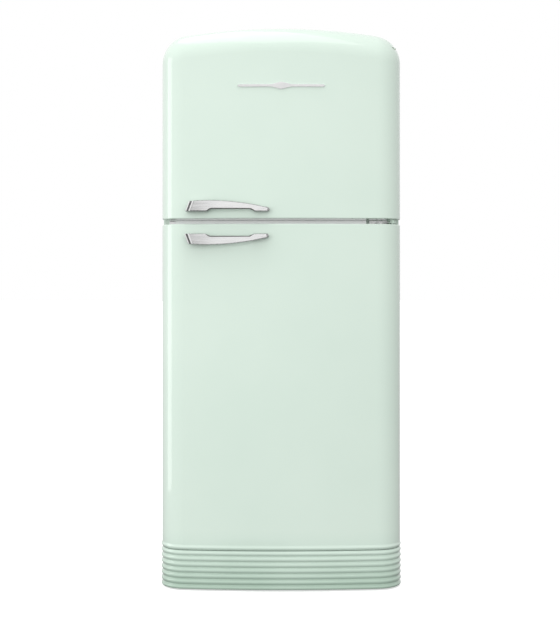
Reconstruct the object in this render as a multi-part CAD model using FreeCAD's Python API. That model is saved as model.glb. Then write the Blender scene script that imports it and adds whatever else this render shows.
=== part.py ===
import FreeCAD, Part
import math
import os

# A two-door refrigerator with the freezer on top: a round-shouldered steel cabinet, two foam-filled
# doors hinged on the right, and the cooling circuit that works it. Millimetres, +X right, +Y back,
# +Z up, with the origin on the floor under the middle of the bounding box.

V = FreeCAD.Vector

# ---- outside ----
HEIGHT = 1872.0
DOOR_HALF = 401.0
DOOR_FRONT = -364.0
DOOR_BACK = -239.0
CABINET_INSET = 2.0
CABINET_FRONT = -227.0
CABINET_REAR = 384.0
CABINET_BOTTOM = 40.0
WALL_STOP = 404.0
HANDLE_FRONT = -404.0
CROWN_R = 2385.0
SHOULDER_R = 97.0
BULGE_R = 2890.0
FRONT_CORNER_R = 88.0
BACK_CORNER_R = 6.0
DOOR_EDGE_R = 3.0
SHEET = 1.2

# ---- heights of the doors and the plinth ----
PLINTH_LOW = 6.0
RIB_PITCH = 18.95
RIB_COUNT = 7
RIB_OUT = 2.5
GROOVE_IN = 2.4
GROOVE_HALF = 3.2
GROOVE_LIP = 0.45
PLINTH_IN = 6.0
LOWEST_GROOVE_Z = 20.4
DOOR_GAP_Z = LOWEST_GROOVE_Z + (RIB_COUNT - 1) * RIB_PITCH
PLINTH_HIGH = DOOR_GAP_Z - 1.0
DOOR_CAP_LOW = DOOR_GAP_Z + 1.0
FRIDGE_DOOR_LOW = 152.0
FRIDGE_DOOR_HIGH = 1213.7
FREEZER_DOOR_LOW = 1231.5

# ---- cavities ----
WALL = 50.0
LINER = 1.5
CAVITY_HALF = DOOR_HALF - CABINET_INSET - WALL
FRIDGE_FLOOR = 175.0
FRIDGE_CEILING = 1197.0
FREEZER_FLOOR = 1248.0
FREEZER_CEILING = 1790.0
FRIDGE_BACK = 334.0
FREEZER_BACK = 324.0
FOAM_BOTTOM = 97.0
STEP_FRONT = 145.0
STEP_TOP = 345.0
STEP_WALL = 42.0

# ---- hinges ----
PIN_X = 373.0
PIN_Y = -279.0
PIN_R = 5.0
BUSH_BORE_R = 5.06
BUSH_R = 8.0
BUSH_LONG = 20.0

# ---- doors, inside face ----
DYKE_HALF = 335.0
DYKE_THICK = 30.0
DYKE_DEEP = -190.0
GASKET_OUT = 361.5
GASKET_WIDE = 11.0
GASKET_FACE = -227.5
BIN_HALF = 303.5
BIN_WALL = 2.5
BIN_FRONT = -150.0
BIN_BACK = -237.0

# ---- inside the cabinet ----
SHELF_HALF = 345.0
SHELF_FRONT = -110.0
SHELF_BACK = 285.0
GLASS = 5.0
LEDGE_DEEP = 8.0
LEDGE_HIGH = 6.0
FREEZER_SHELF_Z = 1500.0
UPPER_SHELF_Z = 960.0
LOWER_SHELF_Z = 690.0
CRISPER_COVER_Z = 412.0
DRAWER_FRONT = -55.0
DRAWER_BACK = 135.0
COVER_FACE = 247.0

# ---- top hinge corner ----
HINGE_POCKET_Z = 1800.0
HINGE_CAP_R = 26.0
HINGE_GAP = 0.5
HINGE_ARM_HALF = 12.0
HINGE_ARM_LOW = 1803.0
HINGE_ARM_HIGH = 1807.0

# ---- strip between the doors ----
STRIP_LOW = 1211.0
STRIP_HIGH = 1234.0
STRIP_RIGHT = 289.0
STRIP_LEFT = -362.0

# ---- base, feet and rollers ----
RAIL_IN = 355.0
RAIL_TOP = 96.0
RAIL_WALL = 3.0
FOOT_X = 330.0
FOOT_Y = -195.0
FOOT_PAD_R = 22.0
FOOT_PAD_HIGH = 12.0
FOOT_STUD_R = 5.0
ROLLER_X = 320.0
ROLLER_Y = 330.0
ROLLER_R = 20.0
ROLLER_HALF_WIDE = 9.0
AXLE_R = 4.0

# ---- machine compartment ----
BAY_TOP = STEP_TOP - LINER - STEP_WALL
COMPRESSOR_X = -190.0
COMPRESSOR_Y = 285.0
COMPRESSOR_R = 78.0
COMPRESSOR_LOW = 76.0
COMPRESSOR_HIGH = 240.0
FAN_Y = 285.0
FAN_Z = 172.0
CONDENSER_FAN_R = 68.0

# ---- fan shafts and the evaporator fan ----
SHAFT_R = 3.0
SHAFT_BORE_R = 3.06
EVAPORATOR_FAN_Z = 1650.0
EVAPORATOR_FAN_Y = 278.0
EVAPORATOR_FAN_R = 52.0

# ---- mains inlet ----
INLET_X = -300.0
INLET_Z = 80.0

# ---- ice maker ----
TRAY_X = -262.0
TRAY_Z = 1700.0
TRAY_FRONT = -90.0
TRAY_BACK = 108.0
TRAY_PIN_R = 4.0
FRAME_SIDE = 66.0

# ---- air duct ----
DUCT_HALF = 110.0
DUCT_FRONT = 298.0
DUCT_LOW = 425.0

# ---- ceiling console ----
PANEL_HALF = 160.0
PANEL_FRONT = -160.0
PANEL_LOW = 1168.0
BUTTON_R = 8.0
BUTTON_Z = 1182.0
BUTTON_OUT = 3.0
BUTTON_PLACES = (-60.0, 60.0)
LENS_HALF = 110.0
LENS_FRONT = -30.0
LENS_BACK = 70.0
LENS_LOW = 1178.0

# ---- dykes of the door liners ----
FREEZER_DYKE_LOW = 1262.0
FREEZER_DYKE_HIGH = 1776.0
FRIDGE_DYKE_LOW = 188.0
FRIDGE_DYKE_HIGH = 1184.0
CORE_BACK = DOOR_BACK - LINER

# ---- dairy bin ----
DAIRY_LOW = 985.0
LID_PIN_Z = DAIRY_LOW + 68
LID_PIN_Y = -231.0

# ---- badge and handles ----
GRIP_BACK = -388.0
BADGE_Z = 1669.0
BADGE_PROUD = 4.0

# ---- hinge arms ----
MIDDLE_ARM_LOW = 1220.5
MIDDLE_ARM_HIGH = 1224.5
BOTTOM_ARM_LOW = 126.0
BOTTOM_ARM_HIGH = 131.0
WASHER_R = 9.0


def box(x0, x1, y0, y1, z0, z1):
    return Part.makeBox(x1 - x0, y1 - y0, z1 - z0, V(x0, y0, z0))


def rod(radius, start, end):
    start = V(*start)
    way = V(*end) - start
    return Part.makeCylinder(radius, way.Length, start, way)


def fuse(shapes):
    whole = shapes[0].multiFuse(shapes[1:])
    return whole.removeSplitter()


def cut(shape, tools):
    return shape.cut(Part.makeCompound(tools))


def group(shapes):
    """Several touching or separate solids that make one sub-part."""
    return Part.makeCompound([solid for shape in shapes for solid in shape.Solids])


def mirrored(shape):
    return shape.mirror(V(0, 0, 0), V(1, 0, 0))


def upright_edges(shape):
    """The straight vertical edges of a boxy shape."""
    found = []
    for edge in shape.Edges:
        run = edge.Vertexes[-1].Point - edge.Vertexes[0].Point
        if abs(run.x) < 0.01 and abs(run.y) < 0.01:
            found.append(edge)
    return found


def round_box(x0, x1, y0, y1, z0, z1, radius):
    block = box(x0, x1, y0, y1, z0, z1)
    return block.makeFillet(radius, upright_edges(block))


def tray(x0, x1, y0, y1, z0, z1, wall, radius):
    """An open-topped bin with rounded upright corners."""
    outer = round_box(x0, x1, y0, y1, z0, z1, radius)
    inner = round_box(x0 + wall, x1 - wall, y0 + wall, y1 - wall, z0 + wall, z1 + wall, radius - wall)
    return outer.cut(inner)


def crowned_face(place, half, corner, crown, apex, base):
    """A flat outline: a straight base and sides, two round corners and one long shallow arc."""
    centre_u = half - corner
    lean = math.asin(centre_u / (crown - corner))
    centre_v = apex - crown + (crown - corner) * math.cos(lean)
    sweep = math.pi / 2 - lean

    def corner_point(side, turn):
        u = side * (centre_u + corner * math.cos(turn))
        return place(u, centre_v + corner * math.sin(turn))

    right = [corner_point(1, turn) for turn in (0, sweep / 2, sweep)]
    left = [corner_point(-1, turn) for turn in (sweep, sweep / 2, 0)]
    base_right = place(half, base)
    base_left = place(-half, base)
    edges = [
        Part.LineSegment(base_right, right[0]),
        Part.Arc(*right),
        Part.Arc(right[2], place(0, apex), left[0]),
        Part.Arc(*left),
        Part.LineSegment(left[2], base_left),
        Part.LineSegment(base_left, base_right),
    ]
    return Part.Face(Part.Wire([edge.toShape() for edge in edges]))


def arch_prism(inset, z_low, y_front, y_back):
    """The cabinet's front-view outline, run from front to back."""
    def place(u, v):
        return V(u, y_front, v)
    face = crowned_face(
        place, DOOR_HALF - inset, SHOULDER_R - inset, CROWN_R - inset, HEIGHT - inset, z_low)
    return face.extrude(V(0, y_back - y_front, 0))


def plan_prism(inset, z_low, z_high, y_back):
    """The doors' outline seen from above, run from z_low to z_high."""
    def place(u, v):
        return V(u, -v, z_low)
    face = crowned_face(
        place, DOOR_HALF - inset, FRONT_CORNER_R - inset, BULGE_R - inset, -DOOR_FRONT - inset, -y_back)
    return face.extrude(V(0, 0, z_high - z_low))


def ease_edges(shape, z, radius):
    """Round the level edges at height z, except the one along the back."""
    back = shape.BoundBox.YMax
    chain = [
        edge for edge in shape.Edges
        if abs(edge.CenterOfMass.z - z) < 0.01 and edge.CenterOfMass.y < back - 0.01
    ]
    return shape.makeFillet(radius, chain)


def round_back_sides(shape, y_back, radius):
    """Round the upright edges where a door's sides meet its back."""
    edges = [
        edge for edge in upright_edges(shape)
        if abs(edge.CenterOfMass.y - y_back) < 0.01
    ]
    return shape.makeFillet(radius, edges)


def freezer_block(inset, y_back):
    """The freezer door's form: domed top, rolled front edges and a slight front bulge."""
    z_low = FREEZER_DOOR_LOW + inset
    prism = arch_prism(inset, z_low, DOOR_FRONT - SHEET, y_back)
    bulge = Part.makeCylinder(BULGE_R - inset, HEIGHT, V(0, DOOR_FRONT + BULGE_R, z_low), V(0, 0, 1))
    block = prism.common(bulge).Solids[0]
    rim = [
        edge for edge in block.Edges
        if edge.CenterOfMass.y < DOOR_FRONT + 34 and edge.CenterOfMass.z > z_low + 1
    ]
    rolled = block.makeFillet(FRONT_CORNER_R - inset, rim)
    return round_back_sides(rolled, y_back, BACK_CORNER_R - inset)


def fridge_block(inset, y_back):
    """The lower door's form, straight from bottom to top."""
    block = plan_prism(inset, FRIDGE_DOOR_LOW + inset, FRIDGE_DOOR_HIGH - inset, y_back)
    return round_back_sides(block, y_back, BACK_CORNER_R - inset)


def hinge_seat(z_low, z_high):
    return rod(BUSH_R, (PIN_X, PIN_Y, z_low), (PIN_X, PIN_Y, z_high))


# ---- top hinge corner of the freezer door ----


def hinge_corner(slack):
    """The corner of the freezer door that the fixed hinge cap takes, grown by slack all round."""
    reach = HINGE_CAP_R + slack
    disc = Part.makeCylinder(reach, 80, V(PIN_X, PIN_Y, HINGE_POCKET_Z), V(0, 0, 1))
    strip = box(
        PIN_X - HINGE_ARM_HALF - 2 - slack, DOOR_HALF + 1, PIN_Y, DOOR_BACK + 1,
        HINGE_POCKET_Z, HINGE_POCKET_Z + 80)
    return fuse([disc, strip])


# ---- the cabinet's shell ----

def outer_casing():
    """Painted steel wrapper with its front flange; open at the back and underneath."""
    shell = arch_prism(CABINET_INSET, CABINET_BOTTOM, CABINET_FRONT, CABINET_REAR)
    hollow = arch_prism(
        CABINET_INSET + SHEET, CABINET_BOTTOM - 1, CABINET_FRONT + SHEET, CABINET_REAR + 1)
    mouth_half = CAVITY_HALF + LINER
    fridge_mouth = box(
        -mouth_half, mouth_half, CABINET_FRONT - 1, CABINET_FRONT + 5,
        FRIDGE_FLOOR - LINER, FRIDGE_CEILING + LINER)
    freezer_mouth = box(
        -mouth_half, mouth_half, CABINET_FRONT - 1, CABINET_FRONT + 5,
        FREEZER_FLOOR - LINER, FREEZER_CEILING + LINER)
    return cut(shell, [hollow, fridge_mouth, freezer_mouth])


def rear_panel():
    sheet = arch_prism(
        CABINET_INSET + SHEET, STEP_TOP - STEP_WALL - 2, CABINET_REAR - SHEET, CABINET_REAR)
    return sheet


def cabinet_insulation():
    """Foam between the shell and the liners, as slabs that meet face to face."""
    half = CAVITY_HALF + LINER
    front = CABINET_FRONT + SHEET
    rear = CABINET_REAR - SHEET
    form = arch_prism(CABINET_INSET + SHEET, FOAM_BOTTOM, front, rear)
    roof_z = FREEZER_CEILING + LINER
    roof = form.common(box(-500, 500, front, rear, roof_z, HEIGHT))
    right = form.common(box(half, 500, front, rear, FOAM_BOTTOM, roof_z))
    floor = box(-half, half, front, STEP_FRONT + LINER, FOAM_BOTTOM, FRIDGE_FLOOR - LINER)
    step_back = STEP_FRONT + LINER + STEP_WALL
    step_wall = box(-half, half, STEP_FRONT + LINER, step_back, FOAM_BOTTOM, STEP_TOP - LINER)
    step_roof = box(
        -half, half, step_back, rear, STEP_TOP - LINER - STEP_WALL, STEP_TOP - LINER)
    mullion = box(
        -half, half, front, FRIDGE_BACK + LINER, FRIDGE_CEILING + LINER, FREEZER_FLOOR - LINER)
    low_back = box(
        -half, half, FRIDGE_BACK + LINER, rear, STEP_TOP - LINER, FREEZER_FLOOR - LINER)
    high_back = box(-half, half, FREEZER_BACK + LINER, rear, FREEZER_FLOOR - LINER, roof_z)
    return group([
        roof, right, mirrored(right), floor, step_wall, step_roof, mullion, low_back, high_back])


def ledges(z):
    """A pair of moulded rails that carry a shelf."""
    right = box(CAVITY_HALF - LEDGE_DEEP, CAVITY_HALF, SHELF_FRONT, SHELF_BACK, z - LEDGE_HIGH, z)
    return [right, mirrored(right)]


def freezer_liner():
    half = CAVITY_HALF
    shell = box(
        -half - LINER, half + LINER, CABINET_FRONT, FREEZER_BACK + LINER,
        FREEZER_FLOOR - LINER, FREEZER_CEILING + LINER)
    hollow = box(-half, half, CABINET_FRONT - 1, FREEZER_BACK, FREEZER_FLOOR, FREEZER_CEILING)
    rails = ledges(FREEZER_SHELF_Z)
    rails = [rail.common(box(-half, half, SHELF_FRONT, COVER_FACE, 0, HEIGHT)) for rail in rails]
    return fuse([shell.cut(hollow)] + rails)


def fridge_liner():
    half = CAVITY_HALF
    shell = box(
        -half - LINER, half + LINER, CABINET_FRONT, FRIDGE_BACK + LINER,
        FRIDGE_FLOOR - LINER, FRIDGE_CEILING + LINER)
    hollow = box(-half, half, CABINET_FRONT - 1, FRIDGE_BACK, FRIDGE_FLOOR, FRIDGE_CEILING)
    step = box(
        -half - LINER, half + LINER, STEP_FRONT + LINER, FRIDGE_BACK + LINER + 1,
        FRIDGE_FLOOR - LINER - 1, STEP_TOP - LINER)
    step_skin = box(-half - LINER, half + LINER, STEP_FRONT, FRIDGE_BACK, FRIDGE_FLOOR - LINER, STEP_TOP)
    tub = fuse([shell.cut(hollow), step_skin]).cut(step)
    rails = []
    for z in (UPPER_SHELF_Z, LOWER_SHELF_Z, CRISPER_COVER_Z):
        rails += ledges(z)
    return fuse([tub] + rails)


def front_mullion():
    """Metal strip across the cabinet's face, seen in the gap between the doors, and its end clip."""
    strip = box(STRIP_LEFT, STRIP_RIGHT, CABINET_FRONT - 1.5, CABINET_FRONT, STRIP_LOW, STRIP_HIGH)
    end = box(
        STRIP_LEFT - 17, STRIP_LEFT, CABINET_FRONT - 3, CABINET_FRONT, STRIP_LOW, STRIP_HIGH)
    return group([strip, end])


# ---- base ----


def base_frame():
    """Folded steel rails, cross members and the plate that carries the compressor."""
    outer = DOOR_HALF - CABINET_INSET - SHEET
    front = CABINET_FRONT + SHEET + 1
    rear = CABINET_REAR - 4
    rail = box(RAIL_IN, outer, front, rear, CABINET_BOTTOM, RAIL_TOP)
    rail_hollow = box(
        RAIL_IN + RAIL_WALL, outer - RAIL_WALL, front + RAIL_WALL, rear - RAIL_WALL,
        CABINET_BOTTOM - 1, RAIL_TOP - RAIL_WALL)
    side = rail.cut(rail_hollow)
    beam = box(-RAIL_IN, RAIL_IN, front, front + 50, CABINET_BOTTOM + 20, RAIL_TOP)
    beam_hollow = box(
        -RAIL_IN - 1, RAIL_IN + 1, front + RAIL_WALL, front + 50 - RAIL_WALL,
        CABINET_BOTTOM + 20 + RAIL_WALL, RAIL_TOP - RAIL_WALL)
    beam_tube = beam.cut(beam_hollow)
    plate = box(-RAIL_IN, RAIL_IN, STEP_FRONT + LINER + STEP_WALL + 2, rear, 60, 60 + RAIL_WALL)
    ears = []
    for side_x in (-1, 1):
        for along in (-1, 1):
            x = side_x * ROLLER_X + along * (ROLLER_HALF_WIDE + 4)
            ears.append(box(x - 1.5, x + 1.5, ROLLER_Y - 18, ROLLER_Y + 18, 12, 61))
    frame = fuse([side, mirrored(side), beam_tube, plate] + ears)
    holes = [
        rod(AXLE_R + 0.06, (-RAIL_IN + 5, ROLLER_Y, ROLLER_R), (RAIL_IN - 5, ROLLER_Y, ROLLER_R))]
    for x in (-FOOT_X, FOOT_X):
        holes.append(rod(FOOT_STUD_R + 0.06, (x, FOOT_Y, 50), (x, FOOT_Y, 70)))
    return cut(frame, holes)


def levelling_foot(x):
    """Round pad on a threaded stud that screws up into the front beam."""
    pad = rod(FOOT_PAD_R, (x, FOOT_Y, 0), (x, FOOT_Y, FOOT_PAD_HIGH))
    pad = pad.makeChamfer(3, [edge for edge in pad.Edges if edge.BoundBox.ZMin > FOOT_PAD_HIGH - 1])
    nut = Part.Face(Part.makePolygon([
        V(x + 9 * math.cos(math.pi * k / 3), FOOT_Y + 9 * math.sin(math.pi * k / 3), FOOT_PAD_HIGH)
        for k in range(7)])).extrude(V(0, 0, 7))
    stud = rod(FOOT_STUD_R, (x, FOOT_Y, FOOT_PAD_HIGH), (x, FOOT_Y, 85))
    return fuse([pad, nut, stud])


def rear_rollers():
    """Two wheels keyed to one through axle under the machine compartment."""
    end = ROLLER_X + ROLLER_HALF_WIDE + 8
    axle = rod(AXLE_R, (-end, ROLLER_Y, ROLLER_R), (end, ROLLER_Y, ROLLER_R))
    wheels = []
    for x in (-ROLLER_X, ROLLER_X):
        wheel = rod(
            ROLLER_R, (x - ROLLER_HALF_WIDE, ROLLER_Y, ROLLER_R), (x + ROLLER_HALF_WIDE, ROLLER_Y, ROLLER_R))
        wheel = wheel.makeFillet(2, [edge for edge in wheel.Edges if edge.Closed])
        wheels.append(wheel.cut(axle))
    return group([axle] + wheels)


def around_front(section, y_back):
    """Carry a closed section round the sides and front of the doors' outline.

    section(place) draws the face, where place(out, z) is a point that far outside the outline.
    """
    half = DOOR_HALF
    centre_x = half - FRONT_CORNER_R
    lean = math.asin(centre_x / (BULGE_R - FRONT_CORNER_R))
    bulge_y = DOOR_FRONT + BULGE_R
    centre_y = bulge_y - (BULGE_R - FRONT_CORNER_R) * math.cos(lean)
    side = section(lambda out, z: V(half + out, y_back, z)).extrude(V(0, centre_y - y_back, 0))
    corner = section(lambda out, z: V(half + out, centre_y, z)).revolve(
        V(centre_x, centre_y, 0), V(0, 0, 1), math.degrees(lean) - 90)
    front = section(lambda out, z: V(0, DOOR_FRONT - out, z)).revolve(
        V(0, bulge_y, 0), V(0, 0, 1), math.degrees(lean))
    right = [side, corner, front]
    return fuse(right + [mirrored(piece) for piece in right])


def closed_face(edges):
    return Part.Face(Part.Wire([edge.toShape() for edge in edges]))


def plinth():
    """Ribbed skirt below the lower door, hollow behind and open at the back."""
    low = PLINTH_LOW
    high = PLINTH_HIGH

    def section(place):
        edges = [Part.LineSegment(place(-PLINTH_IN, low), place(-GROOVE_LIP, low))]
        rise = low
        for k in range(RIB_COUNT):
            groove = LOWEST_GROOVE_Z + k * RIB_PITCH
            crest = place(RIB_OUT, (rise + groove - GROOVE_HALF) / 2)
            below = place(-GROOVE_LIP, groove - GROOVE_HALF)
            above = place(-GROOVE_LIP, groove + GROOVE_HALF)
            edges.append(Part.Arc(place(-GROOVE_LIP, rise), crest, below))
            if k < RIB_COUNT - 1:
                edges.append(Part.Arc(below, place(-GROOVE_IN, groove), above))
            rise = groove + GROOVE_HALF
        edges.append(Part.LineSegment(below, place(-GROOVE_IN, high)))
        edges.append(Part.LineSegment(place(-GROOVE_IN, high), place(-PLINTH_IN, high)))
        edges.append(Part.LineSegment(place(-PLINTH_IN, high), place(-PLINTH_IN, low)))
        return closed_face(edges)

    return around_front(section, CABINET_FRONT)


# ---- machine compartment ----


def compressor():
    """Welded steel pot with its base plate, terminal box and tube stubs, on four rubber feet."""
    centre = (COMPRESSOR_X, COMPRESSOR_Y)
    pot = rod(COMPRESSOR_R, centre + (COMPRESSOR_LOW + 4,), centre + (COMPRESSOR_HIGH,))
    pot = pot.makeFillet(34, [edge for edge in pot.Edges if edge.Closed])
    seam = rod(COMPRESSOR_R + 2.5, centre + (150,), centre + (156,))
    plate = round_box(
        COMPRESSOR_X - 95, COMPRESSOR_X + 95, COMPRESSOR_Y - 62, COMPRESSOR_Y + 62,
        COMPRESSOR_LOW, COMPRESSOR_LOW + 4.5, 12)
    terminals = round_box(
        COMPRESSOR_X + 66, COMPRESSOR_X + 98, COMPRESSOR_Y - 24, COMPRESSOR_Y + 24, 110, 165, 4)
    stubs = [
        rod(4, (COMPRESSOR_X - 40, COMPRESSOR_Y + dy, 190), (COMPRESSOR_X - 98, COMPRESSOR_Y + dy, 190))
        for dy in (-25, 0, 25)]
    body = fuse([pot, seam, plate, terminals] + stubs)
    feet = [
        rod(11, (COMPRESSOR_X + dx, COMPRESSOR_Y + dy, 63), (COMPRESSOR_X + dx, COMPRESSOR_Y + dy, 76))
        for dx in (-80, 80) for dy in (-48, 48)]
    return group([body] + feet)


def serpentine(y, x0, x1, z0, rows, pitch, radius):
    """A tube that runs to and fro along X, with a round bend at each end."""
    pieces = []
    for row in range(rows):
        z = z0 + row * pitch
        pieces.append(rod(radius, (x0, y, z), (x1, y, z)))
        if row < rows - 1:
            end = x1 if row % 2 == 0 else x0
            bend = Part.makeTorus(pitch / 2, radius, V(end, y, z + pitch / 2), V(0, 1, 0))
            if end == x1:
                half = box(end, end + pitch, y - pitch, y + pitch, z - pitch, z + 2 * pitch)
            else:
                half = box(end - pitch, end, y - pitch, y + pitch, z - pitch, z + 2 * pitch)
            pieces.append(bend.common(half))
    return pieces


def condenser_coil():
    """Fan-cooled condenser: three layers of serpentine tube between two side plates."""
    layers = []
    for y in (248, 285, 322):
        layers += serpentine(y, 110, 300, 90, 8, 22, 3)
    plates = [box(x - 1, x + 1, 235, 335, 78, 258) for x in (125, 285)]
    return fuse(layers + plates)


def fan_wheel(axis, centre, hub_r, tip_r, depth, blades):
    """Hub and pitched blades, built round +Z and then turned to the fan's own axis."""
    hub = Part.makeCylinder(hub_r, depth, V(0, 0, -depth / 2), V(0, 0, 1))
    parts = [hub]
    for k in range(blades):
        blade = box(hub_r - 2, tip_r - 3, -17, 17, -1.2, 1.2)
        blade.rotate(V(0, 0, 0), V(1, 0, 0), 26)
        blade.rotate(V(0, 0, 0), V(0, 0, 1), 360 * k / blades)
        parts.append(blade)
    limit = Part.makeCylinder(tip_r, depth + 20, V(0, 0, -depth / 2 - 10), V(0, 0, 1))
    bore = Part.makeCylinder(SHAFT_BORE_R, depth + 20, V(0, 0, -depth / 2 - 10), V(0, 0, 1))
    wheel = fuse(parts).common(limit).cut(bore)
    wheel.Placement = FreeCAD.Placement(V(*centre), FreeCAD.Rotation(V(0, 0, 1), V(*axis)))
    return wheel


def condenser_fan():
    return fan_wheel((1, 0, 0), (20, FAN_Y, FAN_Z), 20, CONDENSER_FAN_R, 20, 5)


def evaporator_fan():
    return fan_wheel((0, 1, 0), (0, EVAPORATOR_FAN_Y, EVAPORATOR_FAN_Z), 16, EVAPORATOR_FAN_R, 16, 5)


def fan_motors():
    """The two fan motors, each with its bracket."""
    motor = rod(21, (32, FAN_Y, FAN_Z), (66, FAN_Y, FAN_Z))
    shaft = rod(SHAFT_R, (6, FAN_Y, FAN_Z), (32, FAN_Y, FAN_Z))
    post = box(66, 70, FAN_Y - 20, FAN_Y + 20, 63, FAN_Z + 20)
    foot = box(50, 90, FAN_Y - 20, FAN_Y + 20, 63, 66)
    low_motor = fuse([motor, shaft, post, foot])
    cold_motor = rod(
        17, (0, EVAPORATOR_FAN_Y + 10, EVAPORATOR_FAN_Z), (0, FREEZER_BACK - 4, EVAPORATOR_FAN_Z))
    cold_shaft = rod(
        SHAFT_R, (0, EVAPORATOR_FAN_Y - 11, EVAPORATOR_FAN_Z), (0, EVAPORATOR_FAN_Y + 10, EVAPORATOR_FAN_Z))
    bar = box(
        -70, 70, FREEZER_BACK - 4, FREEZER_BACK, EVAPORATOR_FAN_Z - 12, EVAPORATOR_FAN_Z + 12)
    return group([low_motor, fuse([cold_motor, cold_shaft, bar])])


def drip_tray():
    """Pan on top of the compressor that catches the thaw water."""
    return tray(
        COMPRESSOR_X - 85, COMPRESSOR_X + 85, COMPRESSOR_Y - 70, COMPRESSOR_Y + 70,
        COMPRESSOR_HIGH + 2, COMPRESSOR_HIGH + 36, 2.5, 14)


def machine_cover():
    """Louvred steel cover over the machine compartment."""
    half = DOOR_HALF - CABINET_INSET - SHEET - 0.5
    sheet = box(-half, half, CABINET_REAR - SHEET, CABINET_REAR, CABINET_BOTTOM + 2, BAY_TOP - 3)
    slots = []
    for column in (-190, 190):
        for row in range(9):
            z = 100 + row * 18
            slots.append(
                round_box(column - 100, column + 100, -4, 4, z - 3, z + 3, 1))
    for slot in slots:
        slot.translate(V(0, CABINET_REAR, 0))
    slots.append(rod(11, (INLET_X, CABINET_REAR - 10, INLET_Z), (INLET_X, CABINET_REAR + 10, INLET_Z)))
    return cut(sheet, slots)


def mains_inlet():
    """Bushing in the machine cover where a supply lead would enter."""
    flange = rod(16, (INLET_X, CABINET_REAR, INLET_Z), (INLET_X, CABINET_REAR + 4, INLET_Z))
    neck = rod(11, (INLET_X, CABINET_REAR - 8, INLET_Z), (INLET_X, CABINET_REAR + 12, INLET_Z))
    bore = rod(4, (INLET_X, CABINET_REAR - 9, INLET_Z), (INLET_X, CABINET_REAR + 13, INLET_Z))
    return fuse([flange, neck]).cut(bore)


def rear_spacers():
    """Two blocks that keep the cabinet off the wall."""
    pieces = []
    for x in (-260, 260):
        block = round_box(x - 22, x + 22, CABINET_REAR, WALL_STOP, 1500, 1560, 5)
        pieces.append(block)
    return group(pieces)


# ---- freezer inside ----

def evaporator():
    """Finned tube coil with the defrost heater clipped below it."""
    tubes = serpentine(272, -215, 215, 1330, 8, 24, 4)
    tubes += serpentine(302, -215, 215, 1330, 8, 24, 4)
    fins = [box(x - 0.6, x + 0.6, 258, 316, 1318, 1512) for x in range(-198, 199, 33)]
    heater = rod(6, (-200, 287, 1290), (200, 287, 1290))
    clips = [box(x - 5, x + 5, 279, 295, 1280, 1300).cut(heater) for x in (-195, 195)]
    return group([fuse(tubes + fins), heater] + clips)


def evaporator_cover():
    """Flat panel in front of the evaporator, with the fan grille and the return slots."""
    half = CAVITY_HALF - 2.5
    panel = box(-half, half, COVER_FACE, COVER_FACE + 3, FREEZER_FLOOR + 2, FREEZER_CEILING - 2)
    slots = []
    for row in range(-4, 5):
        z = EVAPORATOR_FAN_Z + row * 11
        reach = math.sqrt(50 ** 2 - (row * 11) ** 2)
        slots.append(box(-reach, reach, COVER_FACE - 1, COVER_FACE + 4, z - 3, z + 3))
    for column in range(-9, 10):
        x = column * 32
        slots.append(box(x - 10, x + 10, COVER_FACE - 1, COVER_FACE + 4, 1258, 1268))
    return cut(panel, slots)


def freezer_shelf():
    """Glass shelf with a front trim flush with the glass, so the ice bin slides over it."""
    plate = box(
        -SHELF_HALF, SHELF_HALF, SHELF_FRONT, COVER_FACE - 5, FREEZER_SHELF_Z, FREEZER_SHELF_Z + GLASS)
    trim = box(
        -SHELF_HALF, SHELF_HALF, SHELF_FRONT - 8, SHELF_FRONT, FREEZER_SHELF_Z - 9, FREEZER_SHELF_Z + GLASS)
    return group([plate, trim])


def ice_maker_frame():
    """Hanging frame that holds the twist tray by its two end pins."""
    top = FREEZER_CEILING
    sides = [
        box(TRAY_X + s * FRAME_SIDE - 1.5, TRAY_X + s * FRAME_SIDE + 1.5, -100, 122, 1635, top)
        for s in (-1, 1)]
    ends = [
        box(TRAY_X - FRAME_SIDE + 1.5, TRAY_X + FRAME_SIDE - 1.5, y, y + 4, 1672, top)
        for y in (-100, 118)]
    holes = [rod(TRAY_PIN_R + 0.06, (TRAY_X, -110, TRAY_Z), (TRAY_X, 130, TRAY_Z))]
    return cut(fuse(sides + ends), holes)


def ice_tray():
    """Tray of twelve cells with a knob on its front pin."""
    pan = tray(TRAY_X - 50, TRAY_X + 50, TRAY_FRONT, TRAY_BACK, TRAY_Z - 30, TRAY_Z + 4, 2, 8)
    walls = [box(TRAY_X - 1, TRAY_X + 1, TRAY_FRONT + 1, TRAY_BACK - 1, TRAY_Z - 29, TRAY_Z - 8)]
    for k in range(1, 6):
        y = TRAY_FRONT + k * (TRAY_BACK - TRAY_FRONT) / 6
        walls.append(box(TRAY_X - 49, TRAY_X + 49, y - 1, y + 1, TRAY_Z - 29, TRAY_Z - 8))
    front_pin = rod(TRAY_PIN_R, (TRAY_X, TRAY_FRONT + 1, TRAY_Z), (TRAY_X, -102, TRAY_Z))
    back_pin = rod(TRAY_PIN_R, (TRAY_X, TRAY_BACK - 1, TRAY_Z), (TRAY_X, 121, TRAY_Z))
    ends = [
        box(TRAY_X - 14, TRAY_X + 14, TRAY_FRONT, TRAY_FRONT + 2, TRAY_Z - 10, TRAY_Z + 10),
        box(TRAY_X - 14, TRAY_X + 14, TRAY_BACK - 2, TRAY_BACK, TRAY_Z - 10, TRAY_Z + 10)]
    knob = rod(19, (TRAY_X, -102, TRAY_Z), (TRAY_X, -110, TRAY_Z))
    grip = box(TRAY_X - 17, TRAY_X + 17, -122, -110, TRAY_Z - 4, TRAY_Z + 4)
    return fuse([pan, front_pin, back_pin, knob, grip] + walls + ends)


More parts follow.
